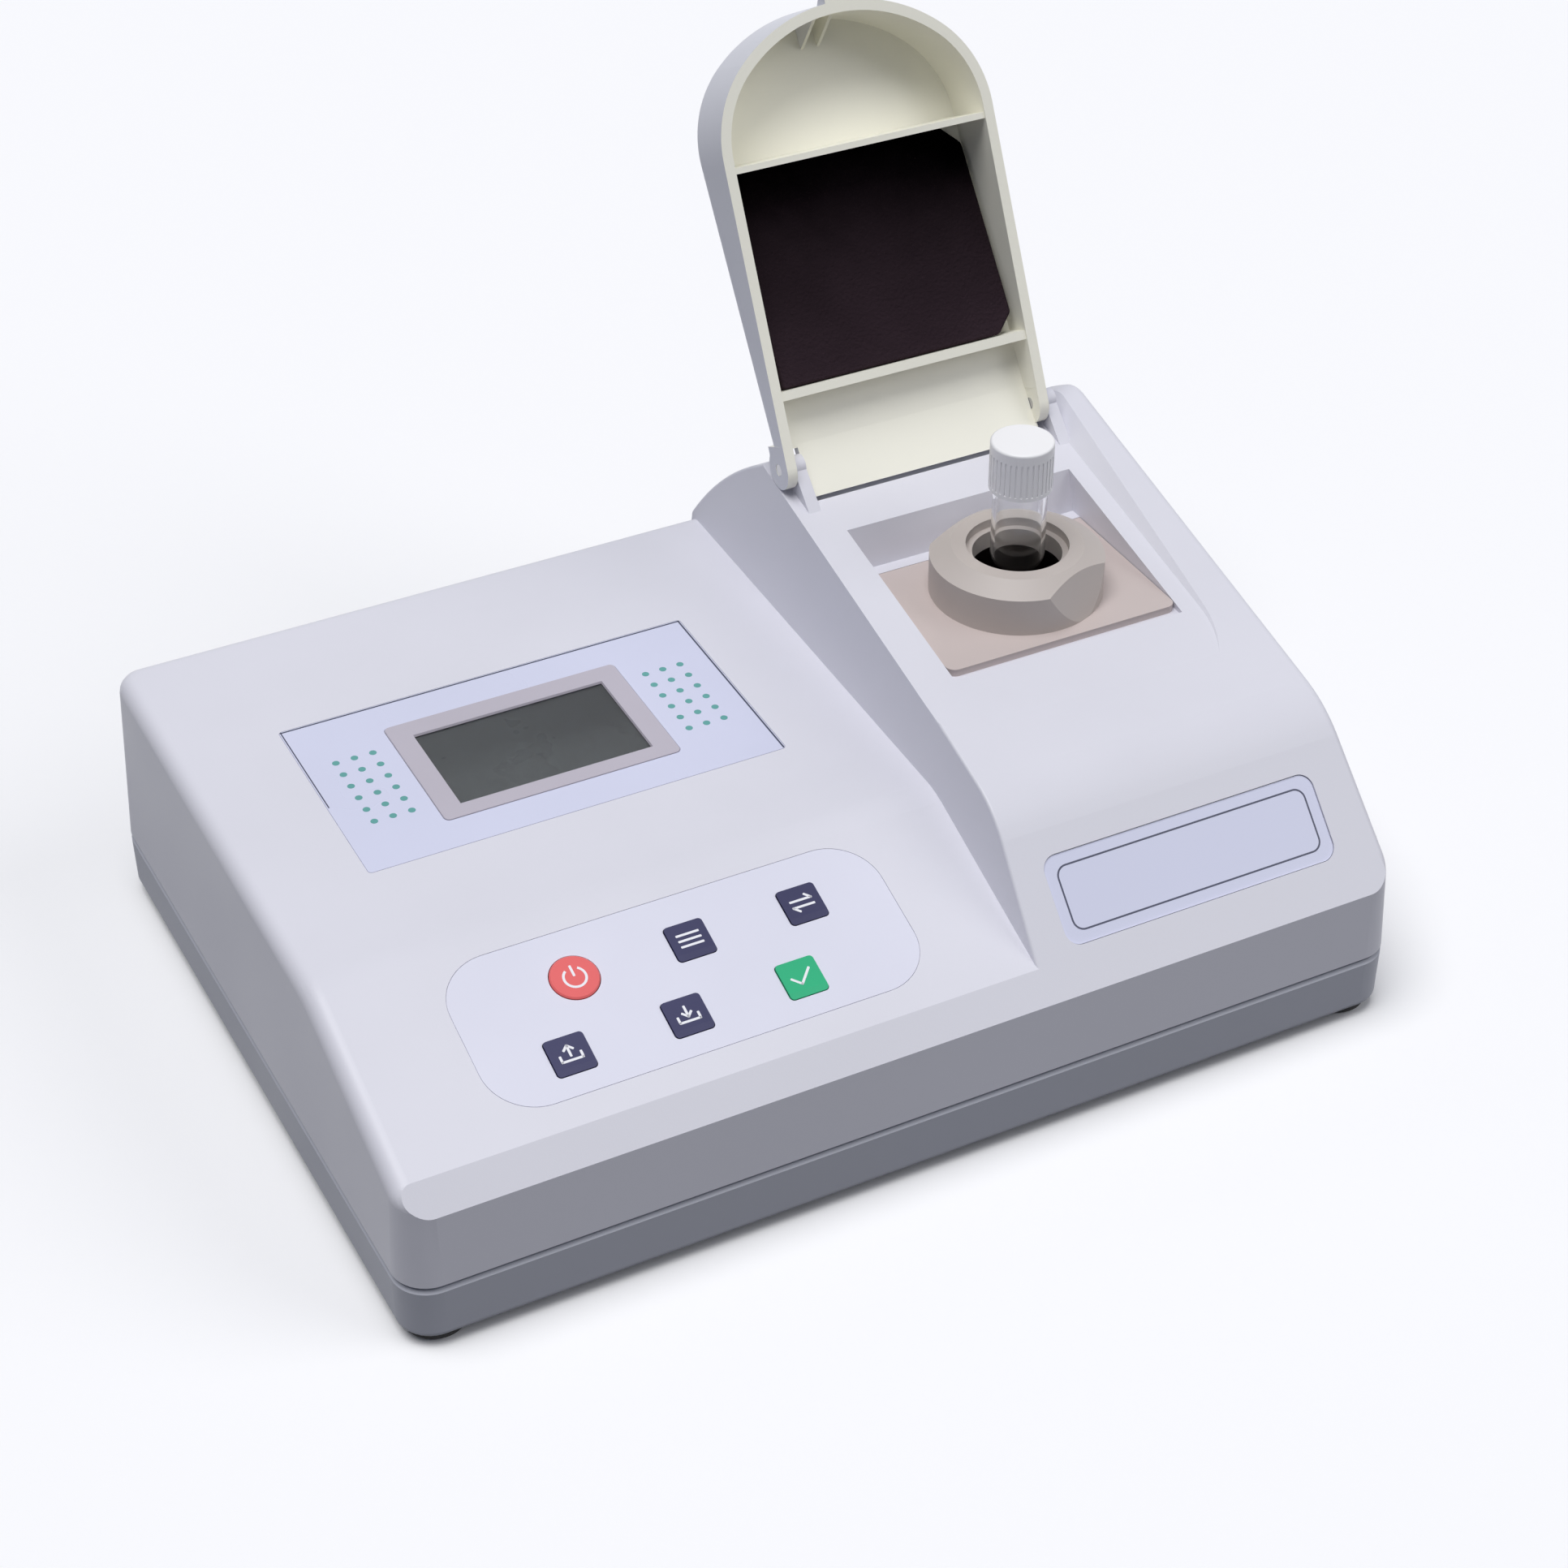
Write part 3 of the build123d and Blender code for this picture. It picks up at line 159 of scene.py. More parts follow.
class FinishSettings(bpy.types.PropertyGroup):
    shell: colour("Upper case", "Pale moulding of the upper case", (0.716, 0.71, 0.775))
    base: colour("Lower case", "Moulding below the parting line", (0.46, 0.47, 0.53))
    # The lower lip colour is a painted highlight, where the lip catches the light.
    lip: colour("Lower lip", "Painted highlight on the lower case's lip at the parting line", (0.80, 0.80, 0.77))
    cream: colour("Lid inside", "Cream inside of the lid", (0.95, 0.93, 0.815))
    lid_skin: colour("Lid outside", "Pale grey outside of the lid", (0.69, 0.695, 0.755))
    plate: colour("Well plate", "Beige plate round the well", (0.575, 0.495, 0.475))
    collar: colour("Collar", "Collar that guides the vial", (0.53, 0.475, 0.445))
    sheet: colour("Printed sheet", "Lilac film of the display and the label", (0.655, 0.67, 0.83))
    keypad: colour("Keypad sheet", "Paler film of the keypad", (0.725, 0.725, 0.83))
    bezel: colour("Bezel", "Frame round the display", (0.50, 0.465, 0.53))
    screen: colour("Screen", "Display when it is off", (0.062, 0.075, 0.088))
    # Screen shade is painted shade, darkening the display towards its top right corner.
    screen_painted_shade: colour("Screen shade", "Painted shade on the display's top right corner", (0.008, 0.012, 0.024))
    dots: colour("Dots", "Teal dots on the display sheet", (0.11, 0.36, 0.34))
    line: colour("Line", "Thin dark lines on the display sheet and the label", (0.05, 0.055, 0.10))
    navy: colour("Navy key", "Film on the four navy keys", (0.022, 0.022, 0.085))
    green: colour("Green key", "Film on the confirm key", (0.015, 0.44, 0.20))
    red: colour("Red key", "Film on the power key", (0.78, 0.13, 0.13))
    symbol: colour("Symbols", "White print on the keys", (0.86, 0.86, 0.90))
    # The pad's colour is painted light: near black at its top as painted shade, fading lower down to a
    # lighter painted sheen.
    foam: colour("Foam", "Light-tight pad in the lid", (0.0016, 0.0015, 0.0014))
    foam_painted_sheen: colour("Foam by the hinge", "Painted sheen on the lower half of the pad", (0.040, 0.026, 0.033))
    well: colour("Well", "Dark bore of the well and the cup in it", (0.0045, 0.0022, 0.0022))
    cap: colour("Vial cap", "White screw cap", (0.93, 0.92, 0.93))


class PrintSettings(bpy.types.PropertyGroup):
    dot_radius: length("Dot radius", "Radius of one teal dot", 0.95 * MM)
    dot_pitch: length("Dot pitch", "Distance between dots across the sheet", 4.9 * MM)
    dot_rise: length("Dot rise", "Distance between dots up the sheet", 5.1 * MM)
    dot_columns: IntProperty(name="Columns", description="Columns in a block of dots", default=3)
    dot_rows: IntProperty(name="Rows", description="Rows in a block of dots", default=6)
    dot_inset: length("Dot inset", "From the sheet's edge to the nearest column", 8.4 * MM)
    line_width: length("Line width", "Width of a thin dark line", 0.45 * MM)
    label_margin: length("Label margin", "From the label's edge to its printed line", 2.9 * MM)
    label_round: length("Label round", "Corner radius of the label's printed line", 3.0 * MM)
    symbol_stroke: length("Symbol stroke", "Width of a symbol's strokes", 0.62 * MM)


# Small helpers for modelling with operators

def clear_selection():
    if bpy.context.object and bpy.context.object.mode != "OBJECT":
        bpy.ops.object.mode_set(mode="OBJECT")
    bpy.ops.object.select_all(action="DESELECT")


def pick(*pieces):
    """Selects some pieces and makes the first of them active."""
    clear_selection()
    for piece in pieces:
        piece.select_set(True)
    bpy.context.view_layer.objects.active = pieces[0]


def apply_place():
    """Puts the active piece's place, turn and size into its mesh."""
    bpy.ops.object.transform_apply(location=True, rotation=True, scale=True)


def edit_all():
    """Opens the active piece's mesh with all of it selected."""
    bpy.ops.object.mode_set(mode="EDIT")
    bpy.ops.mesh.select_all(action="SELECT")


def close_outwards():
    """Turns the open mesh's faces outwards and closes it."""
    bpy.ops.mesh.normals_make_consistent(inside=False)
    bpy.ops.object.mode_set(mode="OBJECT")


def thicken():
    """Gives the open flat mesh the thickness of a print and closes it."""
    bpy.ops.mesh.select_all(action="SELECT")
    bpy.ops.mesh.extrude_region_move(TRANSFORM_OT_translate={"value": (0, 0, PRINT_THICK)})
    bpy.ops.mesh.select_all(action="SELECT")
    close_outwards()


def settle(piece, place):
    """Moves a piece, and puts its place into its mesh, so that its object sits at the origin."""
    pick(piece)
    piece.matrix_world = place @ piece.matrix_world
    apply_place()
    return piece


def joined(pieces, name):
    """Makes one named piece of one or more."""
    pick(*pieces)
    if len(pieces) > 1:
        bpy.ops.object.join()
    pieces[0].name = name
    pieces[0].data.name = name
    return pieces[0]


def face_frame(name):
    """The flat top of a node: a matrix with its middle, X across and Z out of it, and its half sizes."""
    mesh = frame["nodes"][name].data
    areas = {}
    for face in mesh.polygons:
        if face.normal.z > FACING_UP:
            key = tuple(round(value, 3) for value in face.normal)
            areas[key] = areas.get(key, 0) + face.area
    out = Vector(max(areas, key=areas.get)).normalized()
    across = Vector((1, 0, 0))
    up = out.cross(across).normalized()
    spots = [vertex.co for vertex in mesh.vertices]
    xs = [spot.dot(across) for spot in spots]
    ys = [spot.dot(up) for spot in spots]
    high = max(spot.dot(out) for spot in spots)
    centre_x = (min(xs) + max(xs)) / 2
    centre_y = (min(ys) + max(ys)) / 2
    origin = across * centre_x + up * centre_y + out * high
    turn = Matrix((across, up, out)).transposed().to_4x4()
    return Matrix.Translation(origin) @ turn, (max(xs) - min(xs)) / 2, (max(ys) - min(ys)) / 2


def stroke(start, end, width):
    """A thin raised bar between two points of a flat face, with round corners."""
    clear_selection()
    run = Vector(end) - Vector(start)
    middle = (Vector(start) + Vector(end)) / 2
    bpy.ops.mesh.primitive_plane_add(size=1, location=(middle.x, middle.y, 0))
    bar = bpy.context.object
    bar.scale = (run.length + width, width, 1)
    bar.rotation_euler.z = math.atan2(run.y, run.x)
    apply_place()
    edit_all()
    bpy.ops.mesh.bevel(offset=width * STROKE_ROUND, segments=3, affect="VERTICES")
    thicken()
    return bar


def bow(centre, radius, first, sweep, width):
    """A printed arc: a small upright cut spun round its centre."""
    clear_selection()
    bpy.ops.mesh.primitive_plane_add(size=1)
    arc = bpy.context.object
    upright = Matrix.Rotation(QUARTER, 4, "X") @ Matrix.Diagonal((width, PRINT_THICK, 1, 1))
    out = Matrix.Translation((radius, 0, PRINT_THICK / 2))
    arc.matrix_world = Matrix.Rotation(first, 4, "Z") @ out @ upright
    apply_place()
    edit_all()
    bpy.ops.mesh.spin(steps=ARC_STEPS, angle=-sweep, center=(0, 0, 0), axis=(0, 0, 1))
    bpy.ops.mesh.select_all(action="SELECT")
    bpy.ops.mesh.remove_doubles(threshold=MERGE)
    close_outwards()
    return settle(arc, Matrix.Translation((centre[0], centre[1], 0)))


def ring_line(half_x, half_y, radius, width):
    """A printed rounded rectangle, as a thin raised line."""
    clear_selection()
    bpy.ops.mesh.primitive_plane_add(size=2)
    line = bpy.context.object
    line.scale = (half_x, half_y, 1)
    apply_place()
    edit_all()
    bpy.ops.mesh.bevel(offset=radius, segments=8, affect="VERTICES")
    bpy.ops.mesh.select_all(action="SELECT")
    bpy.ops.mesh.inset(thickness=width)
    bpy.ops.mesh.delete(type="FACE")
    thicken()
    return line


def dress(piece, material, body):
    """Gives a new piece its material and the body that it rides on."""
    piece.data.materials.clear()
    piece.data.materials.append(material)
    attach(piece, body)
    return piece


def copy_of(name, title):
    """A merged copy of a node, to be shaped further and to stand for it."""
    pick(frame["nodes"][name])
    bpy.ops.object.duplicate()
    piece = bpy.context.object
    piece.parent = None
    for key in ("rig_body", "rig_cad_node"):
        del piece[key]
    edit_all()
    bpy.ops.mesh.remove_doubles(threshold=MERGE)
    bpy.ops.object.mode_set(mode="OBJECT")
    return joined([piece], title)


def finish_node(name, material):
    """Gives a node of the frame its finish."""
    slots = frame["nodes"][name].data.materials
    if not slots:
        slots.append(material)
    for index in range(len(slots)):
        slots[index] = material


# Node groups that the finishes share

def feed(tree, value, socket):
    """Gives a socket a number, a vector, a colour or what another node puts out."""
    if isinstance(value, bpy.types.NodeSocket):
        tree.links.new(value, socket)
    elif socket.type == "RGBA":
        socket.default_value = (*value, 1)
    else:
        socket.default_value = value


def fit(tree, made, **values):
    """Gives values to a node's sockets where they have that name, or else to its settings."""
    for key, value in values.items():
        title = key.replace("_", " ")
        if title in made.inputs:
            feed(tree, value, made.inputs[title])
        else:
            setattr(made, key, value)
    return made


def node(tree, kind, **values):
    """Adds a shader node with its values."""
    return fit(tree, tree.nodes.new(kind), **values)


def maths(tree, operation, *values, **more):
    """Works out a number from numbers and sockets."""
    made = node(tree, "ShaderNodeMath", operation=operation, **more)
    for value, socket in zip(values, made.inputs):
        feed(tree, value, socket)
    return made.outputs["Value"]


def reach_along(tree, vector, axis):
    """How far a vector goes along an axis."""
    made = node(tree, "ShaderNodeVectorMath", operation="DOT_PRODUCT")
    for value, socket in zip((vector, axis), made.inputs):
        feed(tree, value, socket)
    return made.outputs["Value"]


def noise(tree, place, scale, detail, rough, **more):
    """Cloudy noise round 0.5."""
    made = node(tree, "ShaderNodeTexNoise", Vector=place, Scale=scale, Detail=detail, Roughness=rough, **more)
    return made.outputs["Fac"]


def mixed(tree, share, first, second):
    """Goes from one colour to another by a share from 0 to 1."""
    made = node(tree, "ShaderNodeMix", data_type="RGBA")
    for index, value in ((MIX_SHARE, share), (MIX_FIRST, first), (MIX_SECOND, second)):
        feed(tree, value, made.inputs[index])
    return made.outputs[MIX_RESULT]


def ramp_of(tree, source, low, high):
    """Turns a stretch of a value into 0 to 1."""
    return node(tree, "ShaderNodeMapRange", Value=source, From_Min=low, From_Max=high).outputs["Result"]


def gloss_of(tree, source, low, high):
    """Turns 0 to 1 into a stretch of roughness."""
    return node(tree, "ShaderNodeMapRange", Value=source, To_Min=low, To_Max=high).outputs["Result"]


def new_group(name, inputs, outputs):
    """A new node group, with the sockets that it is given and those that it gives out."""
    tree = bpy.data.node_groups.new(name, "ShaderNodeTree")
    for title, value in inputs.items():
        kind = "NodeSocketVector" if isinstance(value, tuple) else "NodeSocketFloat"
        socket = tree.interface.new_socket(name=title, in_out="INPUT", socket_type=kind)
        socket.default_value = value
    for title in outputs:
        tree.interface.new_socket(name=title, in_out="OUTPUT", socket_type="NodeSocketFloat")
    return tree, tree.nodes.new("NodeGroupInput").outputs, tree.nodes.new("NodeGroupOutput").inputs


def mould_group():
    """Fine spark texture, slow colour drift and faint handling marks of a moulding."""
    found = bpy.data.node_groups.get("moulded_surface")
    if found:
        return found
    tree, given, out = new_group("moulded_surface", {"Grain": GRAIN, "Drift": DRIFT},
                                 ("Height", "Drift", "Marks"))
    place = node(tree, "ShaderNodeTexCoord").outputs["Object"]
    grain = noise(tree, place, given["Grain"], 2.0, 0.6)
    drift = noise(tree, place, given["Drift"], 4.0, 0.55)
    marks = noise(tree, place, 90.0, 6.0, 0.7, Distortion=1.4)
    feed(tree, grain, out["Height"])
    feed(tree, ramp_of(tree, drift, 0.3, 0.7), out["Drift"])
    feed(tree, ramp_of(tree, marks, 0.62, 0.72), out["Marks"])
    return tree


def fade_group():
    """0 to 1 between two places along an axis of the piece, with a ragged middle."""
    found = bpy.data.node_groups.get("fade_along")
    if found:
        return found
    sockets = {"Axis": (0.0, 0.0, 1.0), "Low": 0.0, "High": 1.0, "Ragged": 0.0, "Grain": 60.0}
    tree, given, out = new_group("fade_along", sockets, ("Fade",))
    place = node(tree, "ShaderNodeTexCoord").outputs["Object"]
    cloud = maths(tree, "SUBTRACT", noise(tree, place, given["Grain"], 5.0, 0.6), 0.5)
    level = node(tree, "ShaderNodeMapRange", clamp=False, Value=reach_along(tree, place, given["Axis"]),
                 From_Min=given["Low"], From_Max=given["High"])
    fade = maths(tree, "MULTIPLY_ADD", cloud, given["Ragged"], level.outputs["Result"], use_clamp=True)
    feed(tree, fade, out["Fade"])
    return tree


def outside_group():
    """1 on the outer skin of the open lid, 0 on its inside and its rim.

    It adds up, over three axes, how far a face lies from a point before the lid, times how far it
    faces that way. That is above 0 where the face turns away from the point.
    """
    found = bpy.data.node_groups.get("lid_outside")
    if found:
        return found
    tree, _, out = new_group("lid_outside", {}, ("Outside",))
    spots = [vertex.co for vertex in frame["nodes"]["lid_shell"].data.vertices]
    sideways = Vector((1, 0, 0))
    middle = (min(spot.x for spot in spots) + max(spot.x for spot in spots)) / 2
    low = min(spots, key=lambda spot: spot.z)
    upward = Vector((0, math.sin(LID_LEAN), math.cos(LID_LEAN)))
    backward = Vector((0, math.cos(LID_LEAN), -math.sin(LID_LEAN)))
    rim = min(spot.dot(backward) for spot in spots)
    place = node(tree, "ShaderNodeTexCoord").outputs
    total = None
    for axis, start in ((sideways, middle), (backward, rim - LID_EYE),
                        (upward, low.dot(upward) + LID_CROWN)):
        reach = maths(tree, "SUBTRACT", reach_along(tree, place["Object"], axis), start)
        if axis is upward:
            reach = maths(tree, "MAXIMUM", reach, 0)
        share = maths(tree, "MULTIPLY", reach, reach_along(tree, place["Normal"], axis))
        total = share if total is None else maths(tree, "ADD", total, share)
    feed(tree, ramp_of(tree, total, *SKIN_FADE), out["Outside"])
    return tree


# Finishes

def new_material(name):
    material = bpy.data.materials.new(name)
    material.use_nodes = True
    return material, material.node_tree


def plain_material(name, base, rough, grain=GRAIN, drift=DRIFT, shift=0.06, bump=0.5, mark=0.05,
                   deep=0.02 * MM, **direct):
    """A procedural finish: base colour with drift and marks, varied roughness and fine relief."""
    material, tree = new_material(name)
    surface = node(tree, "ShaderNodeGroup", node_tree=mould_group(), Grain=grain, Drift=drift).outputs
    darker = [part * (1 - shift) for part in base]
    lighter = [min(1.0, part * (1 + shift / 2)) for part in base]
    marked = [part * (1 - mark * MARK_SHADE) for part in base]
    tone = mixed(tree, surface["Drift"], darker, lighter)
    worn = mixed(tree, maths(tree, "MULTIPLY", surface["Marks"], mark * MARK_COVER), tone, marked)
    gloss = gloss_of(tree, surface["Drift"], rough - GLOSS_SPREAD, min(1.0, rough + GLOSS_SPREAD))
    relief = node(tree, "ShaderNodeBump", Strength=bump, Distance=deep, Height=surface["Height"])
    fit(tree, tree.nodes["Principled BSDF"], Base_Color=worn, Roughness=gloss,
        Normal=relief.outputs["Normal"], **direct)
    return material


def glass_material(name, tint, rough, index):
    """Clear glass with faint smears in its gloss."""
    material, tree = new_material(name)
    surface = node(tree, "ShaderNodeGroup", node_tree=mould_group()).outputs
    fit(tree, tree.nodes["Principled BSDF"], Base_Color=tint, Transmission_Weight=1, IOR=index,
        Roughness=gloss_of(tree, surface["Drift"], rough, rough * SMEAR))
    return material


def tint_by(material, mask, colour_there):
    """Lays a colour over a finish where a mask is 1."""
    tree = material.node_tree
    base = tree.nodes["Principled BSDF"].inputs["Base Color"]
    feed(tree, mixed(tree, mask, base.links[0].from_socket, colour_there), base)
    return material


def faded(material, colour_there, axis, low, high, ragged, grain):
    """Fades a finish to another colour along an axis of the piece."""
    fade = node(material.node_tree, "ShaderNodeGroup", node_tree=fade_group(), Axis=axis, Low=low,
                High=high, Ragged=ragged, Grain=grain)
    return tint_by(material, fade.outputs["Fade"], colour_there)


def settings(name):
    return getattr(bpy.context.scene, "photometer_" + name)


# The pieces

class PHOTOMETER_OT_case(bpy.types.Operator):
    """Finishes the two halves of the case, its feet, screws and sockets, and the lid's pins"""
    bl_idname = "photometer.case"
    bl_label = "Case"

    def execute(self, context):
        look = settings("finish")
        shell = plain_material("shell_plastic", look.shell, 0.42, shift=0.025, mark=0.02,
                               Specular_IOR_Level=0.45)
        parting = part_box("lower_shell")[1][2]
        # The lighter band at the top of the lower case is a painted highlight, where its lip catches the
        # light.
        base = faded(plain_material("base_plastic", look.base, 0.48, shift=0.05, mark=0.04), look.lip,
                     (0, 0, 1), parting - LIP_FADE[0], parting - LIP_FADE[1], ragged=0.6, grain=90)
        rubber = plain_material("foot_rubber", (0.012, 0.012, 0.013), 0.75, grain=1800, bump=1.2, shift=0.3)
        steel = plain_material("screw_steel", (0.52, 0.52, 0.54), 0.3, grain=METAL_GRAIN, Metallic=1.0)
        black = plain_material("socket_black", (0.014, 0.014, 0.015), 0.42, bump=0.6)
        port = plain_material("port_steel", (0.56, 0.55, 0.52), 0.28, grain=METAL_GRAIN, Metallic=1.0)
        for name, material in (("upper_shell", shell), ("lower_shell", base), ("feet", rubber),
                               ("case_screws", steel), ("dc_jack", black), ("data_port", port),
                               ("hinge_pins", steel)):
            finish_node(name, material)
        return {"FINISHED"}


class PHOTOMETER_OT_display(bpy.types.Operator):
    """Finishes the display, prints the dots on its sheet and lays a dark line along its top and sides"""
    bl_idname = "photometer.display"
    bl_label = "Display"

    def execute(self, context):
        look, sizes = settings("finish"), settings("print")
        sheet = plain_material("sheet_film", look.sheet, 0.32, grain=FILM_GRAIN, shift=0.03, mark=0.02,
                               bump=0.2)
        finish_node("window_overlay", sheet)
        finish_node("lcd_bezel", plain_material("bezel_plastic", look.bezel, 0.4, shift=0.05))
        finish_node("lcd_module", self.screen(look))
        finish_node("lcd_window", glass_material("screen_window", (0.9, 0.93, 0.93), rough=0.03, index=1.49))
        place, half_x, half_y = face_frame("window_overlay")
        dots = plain_material("dot_print", look.dots, 0.4, shift=0.12, bump=0.2)
        width = sizes.dot_pitch * (sizes.dot_columns - 1)
        height = sizes.dot_rise * (sizes.dot_rows - 1)
        for name, left in (("dots_left", -half_x + sizes.dot_inset),
                           ("dots_right", half_x - sizes.dot_inset - width)):
            block = self.dot_block(sizes, left, -height / 2, name)
            settle(block, place)
            dress(block, dots, "case")
        # A dark line along the sheet's top and both sides, thinner on the left, where it stops short of the
        # bottom.
        edge = sizes.line_width
        top, side = half_y - edge, half_x - edge
        lines = [
            stroke((-side, top), (side, top), edge),
            stroke((-side, top), (-side, -top * LEFT_STOP), edge * LEFT_WIDTH),
            stroke((side, top), (side, -top), edge),
        ]
        rim = settle(joined(lines, "display_line"), place)
        dress(rim, plain_material("dark_line", look.line, 0.4, shift=0.15, bump=0.2), "case")
        return {"FINISHED"}

    def screen(self, look):
        """The display when it is off, with painted shade darkening it towards one corner."""
        low, high = (Vector(corner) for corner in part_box("lcd_module"))
        axis = Vector(SCREEN_SHADED).normalized()
        start = ((low + high) / 2).dot(axis) - SCREEN_FADE
        plain = plain_material("screen_face", look.screen, 0.3, drift=26.0, shift=0.1, mark=0.02, bump=0.0)
        return faded(plain, look.screen_painted_shade, axis, start, high.dot(axis), ragged=0.2, grain=25)

    def dot_block(self, sizes, left, low, name):
        """One round dot, copied into rows and columns."""
        clear_selection()
        bpy.ops.mesh.primitive_circle_add(vertices=DOT_SIDES, radius=sizes.dot_radius, fill_type="NGON",
                                          location=(left, low, 0))
        dot = bpy.context.object
        apply_place()
        edit_all()
        thicken()
        for count, step in ((sizes.dot_columns, (sizes.dot_pitch, 0, 0)),
                            (sizes.dot_rows, (0, sizes.dot_rise, 0))):
            rows = dot.modifiers.new("rows", "ARRAY")
            rows.count = count
            rows.use_relative_offset = False
            rows.use_constant_offset = True
            rows.constant_offset_displace = step
            bpy.ops.object.modifier_apply(modifier=rows.name)
        return joined([dot], name)


class PHOTOMETER_OT_keypad(bpy.types.Operator):
    """Finishes the keypad and prints a symbol on each key"""
    bl_idname = "photometer.keypad"
    bl_label = "Keypad"

    def execute(self, context):
        look = settings("finish")
        sheet = plain_material("keypad_film", look.keypad, 0.36, grain=FILM_GRAIN, shift=0.02, mark=0.02,
                               bump=0.2)
        finish_node("keypad_overlay", sheet)
        films = {
            "navy": plain_material("film_navy", look.navy, 0.34, grain=FILM_GRAIN, shift=0.12),
            "green": plain_material("film_green", look.green, 0.34, grain=FILM_GRAIN, shift=0.1),
            "red": plain_material("film_red", look.red, 0.34, grain=FILM_GRAIN, shift=0.1),
        }
        white = plain_material("symbol_print", look.symbol, 0.4, shift=0.04, bump=0.2)
        keys = {
            "key_power": ("red", self.power),
            "key_menu": ("navy", self.menu),
            "key_switch": ("navy", self.switch),
            "key_recall": ("navy", self.recall),
            "key_save": ("navy", self.save),
            "key_confirm": ("green", self.confirm),
        }
        for name, (film, draw) in keys.items():
            finish_node(name, films[film])
            symbol = joined(draw(settings("print").symbol_stroke), name + "_symbol")
            settle(symbol, face_frame(name)[0] @ Matrix.Translation((0, -SYMBOL_DROP, 0)))
            dress(symbol, white, name)
        return {"FINISHED"}

    def power(self, wide):
        """A broken ring with a bar through its gap."""
        radius, rise = 2.7 * MM, 0.3 * MM
        gap = math.radians(34)
        foot, top = 0.9 * MM, 3.4 * MM
        ring = bow((0, rise), radius, QUARTER + gap, 2 * math.pi - 2 * gap, wide)
        return [ring, stroke((0, foot), (0, top), wide)]

    def menu(self, wide):
        """Three lines of a list."""
        reach = 2.7 * MM
        return [stroke((-reach, y * MM), (reach, y * MM), wide) for y in (-1.0, 0.6, 2.2)]

    def switch(self, wide):
        """Two arrows that point opposite ways."""
        reach, head = 2.7 * MM, 1.2 * MM
        marks = []
        for y, way in ((1.5 * MM, 1), (-0.3 * MM, -1)):
            tip = (way * reach, y)
            marks.append(stroke((-way * reach, y), tip, wide))
            marks.append(stroke(tip, (way * (reach - head), y + way * head), wide))
        return marks

    def recall(self, wide):
        """An arrow up out of a tray."""
        return self.tray(wide) + self.arrow(wide, 0, ARROW_TOP)

    def save(self, wide):
        """An arrow down into a tray."""
        return self.tray(wide) + self.arrow(wide, ARROW_TOP, 0)

    def confirm(self, wide):
        """A tick."""
        left, low, right = (-2.6 * MM, 0.6 * MM), (-0.7 * MM, -1.3 * MM), (2.6 * MM, 2.3 * MM)
        return [stroke(left, low, wide), stroke(low, right, wide)]

    def tray(self, wide):
        """A flat tray with two low ends."""
        reach, low, high = 2.6 * MM, -1.2 * MM, 0.3 * MM
        return [stroke((-reach, high), (-reach, low), wide), stroke((-reach, low), (reach, low), wide),
                stroke((reach, low), (reach, high), wide)]

    def arrow(self, wide, start, end):
        """An upright arrow with its head at its end."""
        head = math.copysign(1.1 * MM, end - start)
        side = abs(head)
        return [stroke((0, start), (0, end), wide), stroke((0, end), (-side, end - head), wide),
                stroke((0, end), (side, end - head), wide)]


class PHOTOMETER_OT_label(bpy.types.Operator):
    """Finishes the bare label and prints the line round it"""
    bl_idname = "photometer.label"
    bl_label = "Label"

    def execute(self, context):
        sizes = settings("print")
        finish_node("label_plate", bpy.data.materials["sheet_film"])
        place, half_x, half_y = face_frame("label_plate")
        inset = sizes.label_margin
        line = ring_line(half_x - inset, half_y - inset, sizes.label_round, sizes.line_width)
        settle(joined([line], "label_line"), place)
        dress(line, bpy.data.materials["dark_line"], "case")
        return {"FINISHED"}


class PHOTOMETER_OT_well(bpy.types.Operator):
    """Finishes the plate, the collar, the well and the optics beside it"""
    bl_idname = "photometer.well"
    bl_label = "Sample well"

    def execute(self, context):
        look = settings("finish")
        plate = plain_material("plate_plastic", look.plate, 0.5, shift=0.05, mark=0.04)
        collar = plain_material("collar_plastic", look.collar, 0.5, shift=0.05, mark=0.04)
        black = plain_material("well_black", look.well, 0.6, bump=1.0, shift=0.3, Specular_IOR_Level=0.12)
        finish_node("sample_plate", plate)
        finish_node("sample_collar", collar)
        for name in ("cell_well", "cell_carrier", "lens_tube"):
            finish_node(name, black)
        self.spring()
        finish_node("lens", glass_material("lens_glass", (0.97, 0.98, 0.98), rough=0.01, index=1.52))
        finish_node("beam_filter", glass_material("filter_glass", (0.75, 0.3, 0.1), rough=0.02, index=1.52))
        finish_node("lamp", plain_material("lamp_resin", (0.75, 0.78, 0.8), 0.15, bump=0.1))
        finish_node("photodiode", plain_material("can_metal", (0.62, 0.58, 0.5), 0.25, Metallic=1.0))
        return {"FINISHED"}

    def spring(self):
        """The cup's spring, a copy that rides on the carrier and so goes down with the cup."""
        spring = copy_of("cell_spring", "cup_spring")
        bpy.ops.object.shade_smooth_by_angle(angle=math.radians(60))
        steel = plain_material("spring_steel", (0.5, 0.5, 0.52), 0.25, Metallic=1.0)
        dress(spring, steel, "carrier")
        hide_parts("cell_spring")
        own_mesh(spring)


class PHOTOMETER_OT_vial(bpy.types.Operator):
    """Finishes the vial, its cap and its liner"""
    bl_idname = "photometer.vial"
    bl_label = "Vial"

    def execute(self, context):
        look = settings("finish")
        cap = plain_material("cap_plastic", look.cap, 0.38, shift=0.02, mark=0.02, bump=0.2)
        finish_node("vial_glass", glass_material("vial_clear", (0.985, 0.99, 0.99), rough=0.008, index=1.47))
        finish_node("vial_cap", cap)
        finish_node("cap_liner", plain_material("liner_rubber", (0.8, 0.8, 0.76), 0.6))
        return {"FINISHED"}


